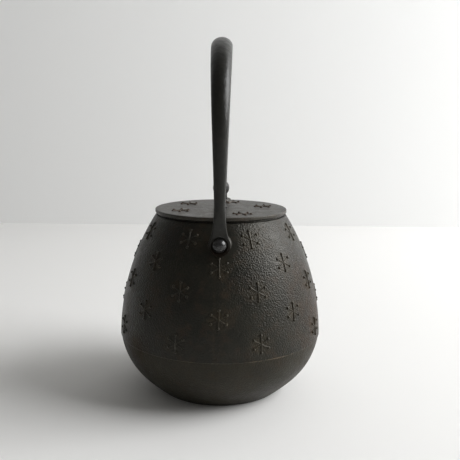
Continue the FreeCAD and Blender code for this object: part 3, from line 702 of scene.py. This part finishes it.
def facing_points(name, spots):
    """Points (place, outward, upward) with the turn that lays a stamp or cell flat on the wall."""
    mesh = bpy.data.meshes.new(name)
    mesh.from_pydata([place * MM for place, outward, upward in spots], [], [])
    facing = mesh.attributes.new("facing", "QUATERNION", "POINT")
    for item, (place, outward, upward) in zip(facing.data, spots):
        level = upward.cross(outward).normalized()
        up = outward.cross(level)
        item.value = Matrix((level, up, outward)).transposed().to_quaternion()
    return linked(name, mesh)


# Columns are counted from the rear stud towards +X; two kinds of column, with rows of their own, alternate.
COLUMNS = 16
EVEN_ROWS = (98.8, 67.8)
ODD_ROWS = (115.0, 83.4, 51.2)
SPOUT_COLUMN = 8
SPOUT_COVERS = (60, 110)


def under_spout(column, height):
    """Whether the spout covers the place of a flake."""
    return abs(column - SPOUT_COLUMN) < 2 and SPOUT_COVERS[0] < height < SPOUT_COVERS[1]


def pot_flake_spots():
    """Place, outward and upward way of every snowflake on the shoulder."""
    spots = []
    centre, radius = SHOULDER_ARC
    for column in range(COLUMNS):
        angle = math.radians(360 / COLUMNS * column)
        for height in (ODD_ROWS if column % 2 else EVEN_ROWS):
            if under_spout(column, height):
                continue
            side = Vector((math.sin(angle), -math.cos(angle), 0))
            rise = (height - centre.y) / radius
            outward = side * math.sqrt(1 - rise ** 2) + UP * rise
            place = side * across(SHOULDER_ARC, height) + UP * height
            spots.append((place, outward, UP))
    return spots


LID_FLAKE_ANGLES = (62, 152, 220, 283, 343)
LID_FLAKE_RING = 31.0


def lid_flake_spots():
    """Place, outward and upward way of every snowflake on the lid."""
    spots = []
    for degrees in LID_FLAKE_ANGLES:
        angle = math.radians(degrees)
        out = Vector((math.cos(angle), -math.sin(angle), 0))
        spots.append((out * LID_FLAKE_RING + UP * LID_TOP, UP, out))
    return spots


# Strainer basket

# Columns of holes round the wall, height of a row and radius of a hole.
PERFORATION = (88, 2.45, 0.78)
CELL_CORNERS = 8
# Distance in metres within which corners of neighbouring cells become one.
CELL_WELD = 0.00008
BAND_GAP = 0.3
FLANGE_SHEET = 1.0


def perforated_cell(name, half_width, half_height, hole):
    """Flat plate with a round hole, one cell of the perforated sheet."""
    bm = bmesh.new()
    inner, outer = [], []
    for c, s in circle(CELL_CORNERS):
        inner.append(bm.verts.new(Vector((hole * c, hole * s, 0)) * MM))
        reach = 1 / max(abs(c), abs(s))
        outer.append(bm.verts.new(Vector((half_width * c * reach, half_height * s * reach, 0)) * MM))
    for k in range(CELL_CORNERS):
        j = (k + 1) % CELL_CORNERS
        bm.faces.new((inner[k], outer[k], outer[j], inner[j]))
    mesh = bpy.data.meshes.new(name)
    bm.to_mesh(mesh)
    bm.free()
    return linked(name, mesh)


def perforate_tree():
    """Lay a cell on every point of the wall and weld the cells into one sheet."""
    tree, given = new_tree("perforate", [("Cell", "NodeSocketObject"), ("Metal", "NodeSocketMaterial")])
    facing = add(tree, "GeometryNodeInputNamedAttribute", {"Name": "facing"}, data_type="QUATERNION")
    real = lay_copies(tree, given, "Cell", facing)
    weld = add(tree, "GeometryNodeMergeByDistance", {"Geometry": real.outputs[0], "Distance": CELL_WELD})
    metal = add(tree, "GeometryNodeSetMaterial", {"Geometry": weld.outputs[0], "Material": given["Metal"]})
    add(tree, "NodeGroupOutput", {0: metal.outputs[0]})
    return tree


def make_basket_wall(steel):
    """Perforated wall with a plain strip along its foot and its top."""
    columns, pitch, hole = PERFORATION
    low = BASKET_BASE + BAND_HEIGHT + BAND_GAP
    rows = int((FLANGE_TOP - COLLAR_HEIGHT - low) / pitch)
    corner_radius = BASKET_RADIUS / math.cos(math.pi / columns)
    spots = []
    for c, s in circle(columns):
        outward = Vector((s, -c, 0))
        for row in range(rows):
            place = outward * BASKET_RADIUS + UP * (low + pitch * (row + 0.5))
            spots.append((place, outward, UP))
    cell = perforated_cell("cell", BASKET_RADIUS * math.tan(math.pi / columns), pitch / 2, hole)
    wall = run_tree(facing_points("basket_wall", spots), perforate_tree(), Cell=cell, Metal=steel)
    discard(cell)
    bm = bmesh.new()
    bm.from_mesh(wall.data)
    for bottom, top in ((BASKET_BASE + SHEET, low), (low + pitch * rows, FLANGE_TOP)):
        rings = []
        for height in (bottom, top):
            ring = []
            for k, (c, s) in enumerate(circle(2 * columns)):
                radius = corner_radius if k % 2 else BASKET_RADIUS
                ring.append(bm.verts.new(Vector((radius * s, -radius * c, height)) * MM))
            rings.append(ring)
        skin(bm, rings, closed_ends=False)
    bmesh.ops.remove_doubles(bm, verts=bm.verts, dist=CELL_WELD)
    bmesh.ops.recalc_face_normals(bm, faces=bm.faces)
    bm.to_mesh(wall.data)
    bm.free()
    thick = wall.modifiers.new("sheet", "SOLIDIFY")
    thick.thickness = SHEET * MM
    thick.offset = -1
    bpy.context.view_layer.update()
    return plain_copy(wall, sharp=40)


def make_basket_rim():
    """Flange that hangs in the mouth, with a collar round the top of the wall."""
    inner = COLLAR_RADIUS - SHEET
    low, under = FLANGE_TOP - COLLAR_HEIGHT, FLANGE_TOP - FLANGE_SHEET
    run = outline([
        (inner, low), (COLLAR_RADIUS, low), (COLLAR_RADIUS, under), (FLANGE_RADIUS, under),
        (FLANGE_RADIUS, FLANGE_TOP), (inner, FLANGE_TOP)])
    return turned("basket_rim", soften(run, radius=0.25, closed=True), segments=144, closed=True)


# Materials

# Place and radius in millimetres of the rust on the belly, and how much of it shows. The second is
# painted shade, a dull brown patch that narrows the sheen on the right shoulder; the first is spread wide
# so that it also dims the sheen on the right belly.
RUST_AND_SHADE_BLOOMS = (
    (Vector((64.0, -22.0, 58.0)), 44.0, 0.7),
    (Vector((53.0, -34.0, 90.0)), 26.0, 0.4),
    (Vector((-54.0, -44.0, 41.0)), 20.0, 0.6),
)
# Level of the mirror reflection on clean iron, and on rust, on grime and on painted shade.
CLEAN_SHEEN = 0.5
DULL_SHEEN = 0.05
# Tan of the mould line: bare worn metal, painted brighter as a highlight on the stretch facing the window.
BARE_AND_LIT_EDGE = "#5d5040"
# Painted shade with grime: dark brown for the lower half of each handle eye.
GRIME_AND_SHADE = "#17120d"
WARM_SHEEN = "#fffaf0"
# Size in millimetres of the sand grain as drawn, and height of its bumps in metres.
GRAIN = 0.9
GRAIN_HEIGHT = 0.0004
# Size in millimetres, detail and roughness of the patches, blotches and grain of a cast skin.
CAST_NOISE = ((26, 4.0, 0.6), (8, 5.0, 0.65), (GRAIN, 1.0, 0.5))
# Height in metres of the hammer marks, and of the streaks on rolled sheet.
HAMMER_HEIGHT = 0.001
STREAK_HEIGHT = 0.0002
# Strength of the grain on the smooth skin round a stud.
RUBBED_GRIT = 0.08


def linear(code):
    """sRGB hex colour as linear RGBA."""
    channels = [int(code[k:k + 2], 16) / 255 for k in (1, 3, 5)]
    return (*[c / 12.92 if c <= 0.04045 else ((c + 0.055) / 1.055) ** 2.4 for c in channels], 1.0)


def per_mm(size):
    """Texture scale that makes one feature this many millimetres wide."""
    return 1.0 / (size * MM)


def new_metal(name):
    """Empty material with its tree, its shader and the place on the object in metres."""
    metal = bpy.data.materials.new(name)
    metal.use_nodes = True
    tree = metal.node_tree
    tree.nodes.clear()
    shader = add(tree, "ShaderNodeBsdfPrincipled")
    add(tree, "ShaderNodeOutputMaterial", {"Surface": shader.outputs[0]})
    place = add(tree, "ShaderNodeTexCoord").outputs["Object"]
    return metal, tree, shader, place


def sand_cast_iron(name, dark, light, rust, worn, rough, gloss, grit):
    """Cast iron straight from a sand mould, oxidised and rubbed with oil: near black, with a pebbled skin
    that glitters where light rakes it, dull brown where rust shows and on a patch of painted shade, worn
    brighter round the snowflakes and on the mould line, with a painted highlight on the line's lit stretch.
    The sand grain is about 0.5 mm; it is drawn at 0.9 mm so that it shows."""
    metal, tree, shader, place = new_metal(name)
    patch, blotch, grain = [add(tree, "ShaderNodeTexNoise", {
        "Vector": place, "Scale": per_mm(size), "Detail": detail, "Roughness": fine})
        for size, detail, fine in CAST_NOISE]
    pebble = add(tree, "ShaderNodeTexVoronoi", {
        "Vector": place, "Scale": per_mm(GRAIN), "Smoothness": 1.0}, feature="SMOOTH_F1")
    tone = add(tree, "ShaderNodeMapRange", {0: patch.outputs[0], 1: 0.35, 2: 0.68})
    base = add(tree, "ShaderNodeMix", {
        0: tone.outputs[0], 6: linear(dark), 7: linear(light)}, data_type="RGBA")
    stain = add(tree, "ShaderNodeMapRange", {0: blotch.outputs[0], 1: 0.5, 2: 0.75, 4: 0.45})
    rusty = add(tree, "ShaderNodeMix", {
        0: stain.outputs[0], 6: base.outputs[2], 7: linear(rust)}, data_type="RGBA")

    ragged = add(tree, "ShaderNodeMapRange", {0: blotch.outputs[0], 1: 0.35, 2: 0.6, 3: 0.25, 4: 1.0})
    bloomed = rusty
    rust_and_shade = 0.0
    # Rust, and the patch of painted shade, tint the skin brown and dull its reflection.
    for spot, radius, strength in RUST_AND_SHADE_BLOOMS:
        away = add(tree, "ShaderNodeVectorMath", {0: place, 1: spot * MM}, operation="DISTANCE")
        bloom = add(tree, "ShaderNodeMapRange", {
            0: away.outputs["Value"], 1: radius * MM, 2: 0.0, 4: strength}, interpolation_type="SMOOTHSTEP")
        flecked = add(tree, "ShaderNodeMath", {
            0: bloom.outputs[0], 1: ragged.outputs[0]}, operation="MULTIPLY")
        bloomed = add(tree, "ShaderNodeMix", {
            0: flecked.outputs[0], 6: bloomed.outputs[2], 7: linear(rust)}, data_type="RGBA")
        total = add(tree, "ShaderNodeMath", {0: rust_and_shade, 1: bloom.outputs[0]}, operation="ADD")
        rust_and_shade = total.outputs[0]
    sheen = add(tree, "ShaderNodeMapRange", {0: rust_and_shade, 3: CLEAN_SHEEN, 4: DULL_SHEEN})
    near_flake = add(tree, "ShaderNodeAttribute", attribute_name="halo")
    wear = add(tree, "ShaderNodeMath", {
        0: near_flake.outputs["Fac"], 1: ragged.outputs[0]}, operation="MULTIPLY")
    haloed = add(tree, "ShaderNodeMix", {
        0: wear.outputs[0], 6: bloomed.outputs[2], 7: linear(worn)}, data_type="RGBA")
    ridge = add(tree, "ShaderNodeAttribute", attribute_name="ridge")
    crest = add(tree, "ShaderNodeMapRange", {0: ridge.outputs["Fac"], 1: 0.5, 2: 1.0})
    broken = add(tree, "ShaderNodeMapRange", {0: blotch.outputs[0], 1: 0.4, 2: 0.6, 3: 0.1, 4: 1.0})
    # Mould line: bare worn metal, with a painted highlight on the stretch that faces the window.
    rubbed_and_lit = add(tree, "ShaderNodeMath", {
        0: crest.outputs[0], 1: broken.outputs[0]}, operation="MULTIPLY")
    edged = add(tree, "ShaderNodeMix", {
        0: rubbed_and_lit.outputs[0], 6: haloed.outputs[2], 7: linear(BARE_AND_LIT_EDGE)}, data_type="RGBA")
    speck = add(tree, "ShaderNodeMapRange", {0: grain.outputs[0], 1: 0.3, 2: 0.7, 3: 0.7, 4: 1.3})
    final = add(tree, "ShaderNodeMix", {
        0: 1.0, 6: edged.outputs[2], 7: speck.outputs[0]}, data_type="RGBA", blend_type="MULTIPLY")
    dull = add(tree, "ShaderNodeMapRange", {
        0: blotch.outputs[0], 1: 0.3, 2: 0.7, 3: rough - 0.06, 4: rough + 0.1})

    near_stud = add(tree, "ShaderNodeAttribute", attribute_name="plain")
    rub = add(tree, "ShaderNodeMapRange", {0: near_stud.outputs["Fac"], 3: grit, 4: RUBBED_GRIT})
    relief = add(tree, "ShaderNodeMath", {
        0: grain.outputs[0], 1: 0.7, 2: pebble.outputs["Distance"]}, operation="MULTIPLY_ADD")
    bump = add(tree, "ShaderNodeBump", {
        "Height": relief.outputs[0], "Strength": rub.outputs[0], "Distance": GRAIN_HEIGHT}, invert=True)
    connect(tree, shader, {
        "Base Color": final.outputs[2], "Roughness": dull.outputs[0], "Normal": bump.outputs[0],
        "Specular IOR Level": sheen.outputs[0]})
    shader.inputs["IOR"].default_value = gloss
    shader.inputs["Specular Tint"].default_value = linear(WARM_SHEEN)
    return metal


def lacquered_iron(name, dark, light, rough, gloss, hammer_mm, hammer):
    """Forged iron under thin baked lacquer: smooth black with soft hammer flats that break up a highlight,
    dark, dull and brown on the lower half of each eye, where painted shade lies together with grime."""
    metal, tree, shader, place = new_metal(name)
    flats = add(tree, "ShaderNodeTexNoise", {
        "Vector": place, "Scale": per_mm(hammer_mm), "Detail": 2.0})
    wear = add(tree, "ShaderNodeTexNoise", {
        "Vector": place, "Scale": per_mm(3.0), "Detail": 5.0, "Roughness": 0.7})
    tone = add(tree, "ShaderNodeMapRange", {0: wear.outputs[0], 1: 0.4, 2: 0.75})
    colour = add(tree, "ShaderNodeMix", {
        0: tone.outputs[0], 6: linear(dark), 7: linear(light)}, data_type="RGBA")
    dull = add(tree, "ShaderNodeMapRange", {
        0: wear.outputs[0], 1: 0.3, 2: 0.7, 3: rough - 0.06, 4: rough + 0.1})
    relief = add(tree, "ShaderNodeMath", {
        0: wear.outputs[0], 1: 0.05, 2: flats.outputs[0]}, operation="MULTIPLY_ADD")
    bump = add(tree, "ShaderNodeBump", {
        "Height": relief.outputs[0], "Strength": hammer, "Distance": HAMMER_HEIGHT})
    # Painted shade with grime darkens the lower half of each eye and dulls its reflection.
    grime_and_shade = add(tree, "ShaderNodeAttribute", attribute_name="grime_and_shade")
    shaded_and_soiled = add(tree, "ShaderNodeMix", {
        0: grime_and_shade.outputs["Fac"], 6: colour.outputs[2], 7: linear(GRIME_AND_SHADE)}, data_type="RGBA")
    sheen = add(tree, "ShaderNodeMapRange", {0: grime_and_shade.outputs["Fac"], 3: CLEAN_SHEEN, 4: DULL_SHEEN})
    connect(tree, shader, {
        "Base Color": shaded_and_soiled.outputs[2], "Roughness": dull.outputs[0], "Normal": bump.outputs[0],
        "Specular IOR Level": sheen.outputs[0]})
    shader.inputs["IOR"].default_value = gloss
    return metal


def satin_steel(name, code, rough):
    """Steel with a rolled satin finish: grey metal, fine level streaks, soft broad reflections."""
    metal, tree, shader, place = new_metal(name)
    stretch = add(tree, "ShaderNodeMapping", {
        "Vector": place, "Scale": (per_mm(9), per_mm(9), per_mm(0.6))})
    streak = add(tree, "ShaderNodeTexNoise", {
        "Vector": stretch.outputs[0], "Scale": 1.0, "Detail": 3.0})
    dull = add(tree, "ShaderNodeMapRange", {
        0: streak.outputs[0], 1: 0.3, 2: 0.7, 3: rough - 0.08, 4: rough + 0.1})
    bump = add(tree, "ShaderNodeBump", {
        "Height": streak.outputs[0], "Strength": 0.15, "Distance": STREAK_HEIGHT})
    shade = add(tree, "ShaderNodeMapRange", {0: streak.outputs[0], 1: 0.3, 2: 0.7, 3: 0.9, 4: 1.08})
    colour = add(tree, "ShaderNodeMix", {
        0: 1.0, 6: linear(code), 7: shade.outputs[0]}, data_type="RGBA", blend_type="MULTIPLY")
    connect(tree, shader, {
        "Base Color": colour.outputs[2], "Roughness": dull.outputs[0], "Normal": bump.outputs[0]})
    shader.inputs["Metallic"].default_value = 1.0
    return metal


def painted(thing, *metals):
    """Give a piece its materials, in order."""
    thing.data.materials.clear()
    for metal in metals:
        thing.data.materials.append(metal)
    return thing


def paint_bowl(pot):
    """The bowl came from another half of the mould and has the second of the pot's two skins."""
    for face in pot.data.polygons:
        face.material_index = 1 if face.center.z < (BELLY.y - LINE_MARGIN) * MM else 0


# A face this far below the mould line belongs to the bowl.
LINE_MARGIN = 0.1
# Wear of the skin round a snowflake, how far from its middle it fades, and wear of the relief itself.
FLAKE_WEAR = 0.55
HALO_EDGE = (4.0, 10.5)
RELIEF_WEAR = 0.8
LID_RELIEF_WEAR = 1.0
# Distances from the pivot line between which the smooth skin fades into the grain.
PLAIN_EDGE = (9.5, 14.0)
# Painted shade: on the pot's left side, seen from the rear stud, the snowflakes and the skin round them
# show only this share of their wear, so that they stay dark; degrees round the pot.
LEFT_SHADE_WEAR = 0.35
LEFT_SHADE_EDGE = (-24.0, -6.0)
# Upright mould seam below the rear stud: place and half width in degrees, and the height where it ends.
SEAM_ANGLE = -2.5
SEAM_HALF = 0.6
SEAM_TOP = 98.0
SEAM_WEAR = 0.5
# Mould line round the belly: half width in millimetres, then the stretch in degrees that is painted
# brightest, a painted highlight where the window catches the line, and the share of wear shown elsewhere.
RIDGE_HALF = 0.35
RIDGE_ANGLE = 33.0
RIDGE_SPAN = 24.0
RIDGE_FAINT = 0.6
# How far under the outer skin a point may lie and still count as outside.
SKIN_MARGIN = 1.0
# Heights from the pivot between which the painted shade and grime fade out on the eyes.
GRIME_AND_SHADE_EDGE = (-5.0, 6.0)


def round_pot(spot):
    """Degrees round the pot from the rear stud towards +X."""
    return math.degrees(math.atan2(spot.x, -spot.y))


def wear_with_left_shade(spot):
    """Share of the wear that a place on the pot shows, cut on the left side as painted shade."""
    return LEFT_SHADE_WEAR + (1 - LEFT_SHADE_WEAR) * ease(*LEFT_SHADE_EDGE, round_pot(spot))


def mark_pot(pot):
    """Mark the skin worn bright round each snowflake, less on the pot's left side as painted shade, on the
    seam below the rear stud and on the mould line, brightest facing the window as a painted highlight, and
    the smooth skin round each stud."""
    flakes = KDTree(len(pot_flake_spots()))
    for index, (place, outward, upward) in enumerate(pot_flake_spots()):
        flakes.insert(place, index)
    flakes.balance()
    marks = {"halo": [], "plain": [], "ridge": []}
    for vert in pot.data.vertices:
        spot = vert.co / MM
        out = math.hypot(spot.x, spot.y) + SKIN_MARGIN
        outside = BELLY.y < spot.z < NECK.y and out > across(SHOULDER_ARC, spot.z)
        wear = FLAKE_WEAR * wear_with_left_shade(spot) * (1 - ease(*HALO_EDGE, flakes.find(spot)[2]))
        around = round_pot(spot)
        if abs(around - SEAM_ANGLE) < SEAM_HALF and spot.z < SEAM_TOP:
            wear = max(wear, SEAM_WEAR)
        marks["halo"].append(wear if outside else 0.0)
        from_stud = math.hypot(spot.x, spot.z - PIVOT_HEIGHT)
        marks["plain"].append(1 - ease(*PLAIN_EDGE, from_stud))
        on_line = abs(spot.z - BELLY.y) < RIDGE_HALF and out > BELLY.x
        # Painted highlight: the mould line is painted brightest on the stretch that faces the window.
        worn = 1 - ease(RIDGE_SPAN / 2, RIDGE_SPAN, abs(around - RIDGE_ANGLE))
        marks["ridge"].append(max(worn, RIDGE_FAINT) if on_line else 0.0)
    for name, values in marks.items():
        set_mark(pot, name, values)


def mark_handle(bail):
    """Mark the lower half of both eyes dark and dull: painted shade with grime."""
    rises = [vert.co.z / MM - PIVOT_HEIGHT for vert in bail.data.vertices]
    set_mark(bail, "grime_and_shade", [1 - ease(*GRIME_AND_SHADE_EDGE, rise) for rise in rises])


def fit(thing, body, slot, *nodes):
    """Let a finished piece ride on its body and stand for its solids. The slot is not used."""
    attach(thing, body)
    if nodes:
        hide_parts(*nodes)


POT_COLOURS = ("#171714", "#22211b", "#39291b", "#342e22")
BOWL_COLOURS = ("#211f18", "#2a271e", "#372a1b", "#342e22")
LID_COLOURS = ("#211f1b", "#2d2a24", "#3a2c1f", "#38281a")
pot_iron = sand_cast_iron("sand_cast_iron_pot", *POT_COLOURS, rough=0.37, gloss=1.36, grit=0.8)
bowl_iron = sand_cast_iron("sand_cast_iron_bowl", *BOWL_COLOURS, rough=0.45, gloss=1.33, grit=0.6)
relief_iron = sand_cast_iron("sand_cast_iron_relief", *POT_COLOURS, rough=0.31, gloss=1.44, grit=0.2)
lid_iron = sand_cast_iron("sand_cast_iron_lid", *LID_COLOURS, rough=0.38, gloss=1.46, grit=0.5)
handle_iron = lacquered_iron(
    "lacquered_forged_iron", "#1a1a17", "#25241f", rough=0.33, gloss=1.38, hammer_mm=4.2, hammer=0.35)
knob_iron = lacquered_iron(
    "lacquered_cast_iron_knob", "#161514", "#24211e", rough=0.38, gloss=1.4, hammer_mm=4.0, hammer=0.25)
stud_iron = lacquered_iron(
    "polished_iron_stud", "#1c1c1d", "#292726", rough=0.24, gloss=1.5, hammer_mm=5.0, hammer=0.08)
basket_steel = satin_steel("satin_stainless_sheet", "#c3c3c4", rough=0.32)
washer_steel = satin_steel("dull_mild_steel", "#8f8b86", rough=0.5)

pot = painted(make_pot(), pot_iron, bowl_iron)
paint_bowl(pot)
mark_pot(pot)
fit(pot, "pot", "pot_iron", "bowl_casting", "shoulder_casting", "spout_casting")

shoulder = outline([(*BELLY, SHOULDER_ARC[1], 1), tuple(NECK)])
wall_guide = turned("wall_guide", shoulder, POT_SEGMENTS, sharp=180)
stamp = flake_stamp("stamp")
press = flake_tree()
pot_flakes = run_tree(facing_points("pot_flakes", pot_flake_spots()), press, Stamp=stamp, Wall=wall_guide,
                      Metal=relief_iron, Tilt=math.radians(2.5), Seed=4)
# Painted shade: the snowflakes on the pot's left side show less of their worn colour.
set_mark(pot_flakes, "halo", [RELIEF_WEAR * wear_with_left_shade(vert.co) for vert in pot_flakes.data.vertices])
fit(pot_flakes, "pot", "pot_iron")

lid = painted(make_lid(), lid_iron)
level = LID_FACE[-1][1]
lid_guide = turned("lid_guide", outline([(0, level), (LID_RADIUS - LID_GUIDE_INSET, level)]), segments=64)
lid_flakes = run_tree(facing_points("lid_flakes", lid_flake_spots()), press, Stamp=stamp, Wall=lid_guide,
                      Metal=lid_iron, Tilt=math.radians(12), Seed=2)
set_mark(lid_flakes, "halo", [LID_RELIEF_WEAR] * len(lid_flakes.data.vertices))
fit(lid, "lid", "lid_iron", "lid_plate")
fit(lid_flakes, "lid", "lid_iron")
discard(wall_guide, lid_guide, stamp)

fit(painted(make_knob(), knob_iron), "lid", "knob_iron", "lid_knob")
bail = painted(make_handle(), handle_iron)
mark_handle(bail)
fit(bail, "bail", "handle_iron", "handle")
for name, side in (("rear_dome", -1), ("front_dome", 1)):
    fit(painted(make_stud(name, side), stud_iron), "pot", "stud_iron", name.replace("dome", "stud"))

fit(painted(make_basket_wall(basket_steel), basket_steel), "basket", "strainer_steel", "strainer_wall")
fit(painted(make_basket_rim(), basket_steel), "basket", "strainer_steel", "strainer_rim")
for name in ("strainer_base", "strainer_band"):
    painted(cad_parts[name], basket_steel)
painted(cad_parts["knob_seat"], knob_iron)
for name in ("rear_washer", "front_washer", "knob_rivet", "knob_burr"):
    painted(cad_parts[name], washer_steel)

# Table, wall, light and camera. Metres from here on.

ROOM_HALF = 3.0
ROOM_HEIGHT = 3.0
TABLE_FRONT = -2.0
WALL_AT = 0.68
WINDOW_PLACE = Vector((1.72, -0.1, 1.16))
WINDOW_TARGET = Vector((0, 0, 0.1))
WINDOW_SIZE = (1.5, 1.3)
WINDOW_WATTS = 57.0
WORLD_STRENGTH = 0.165
LENS = 52.37
SENSOR = 36
CAMERA_PLACE = (0.0065, -0.467, 0.1957)
LOOK_DOWN = 10.1
CAMERA_ROLL = 0.55


def stage_sheet(name, corners, code, rough):
    """Flat sheet of the stage, in one plain colour."""
    mesh = bpy.data.meshes.new(name)
    mesh.from_pydata(corners, [], [range(len(corners))])
    sheet = linked(name, mesh)
    paint = bpy.data.materials.new(name)
    paint.use_nodes = True
    shader = paint.node_tree.nodes["Principled BSDF"]
    shader.inputs["Base Color"].default_value = linear(code)
    shader.inputs["Roughness"].default_value = rough
    sheet.data.materials.append(paint)


left, right = -ROOM_HALF, ROOM_HALF
near_edge = [(left, TABLE_FRONT, 0), (right, TABLE_FRONT, 0)]
far_edge = [(left, WALL_AT, 0), (right, WALL_AT, 0)]
wall_top = [(right, WALL_AT, ROOM_HEIGHT), (left, WALL_AT, ROOM_HEIGHT)]
stage_sheet("table", near_edge + far_edge[::-1], "#e9e8e6", rough=0.8)
stage_sheet("backdrop", far_edge + wall_top, "#f6f6f5", rough=0.9)

lamp = bpy.data.lights.new("window", "AREA")
lamp.shape = "RECTANGLE"
lamp.size, lamp.size_y = WINDOW_SIZE
lamp.energy = WINDOW_WATTS
lamp.color = linear("#fdfeff")[:3]
window = linked("window", lamp)
window.location = WINDOW_PLACE
window.rotation_euler = (WINDOW_TARGET - WINDOW_PLACE).to_track_quat("-Z", "Y").to_euler()

world = bpy.data.worlds.new("room")
bpy.context.scene.world = world
world.use_nodes = True
air = world.node_tree.nodes["Background"]
air.inputs["Color"].default_value = linear("#f6f5f1")
air.inputs["Strength"].default_value = WORLD_STRENGTH

camera_data = bpy.data.cameras.new("camera")
camera_data.lens = LENS
camera_data.sensor_width = SENSOR
camera = linked("camera", camera_data)
camera.matrix_world = (Matrix.Translation(CAMERA_PLACE)
                       @ Matrix.Rotation(math.radians(90 - LOOK_DOWN), 4, "X")
                       @ Matrix.Rotation(math.radians(CAMERA_ROLL), 4, "Z"))
bpy.context.scene.camera = camera
bpy.context.scene.view_settings.view_transform = "Standard"
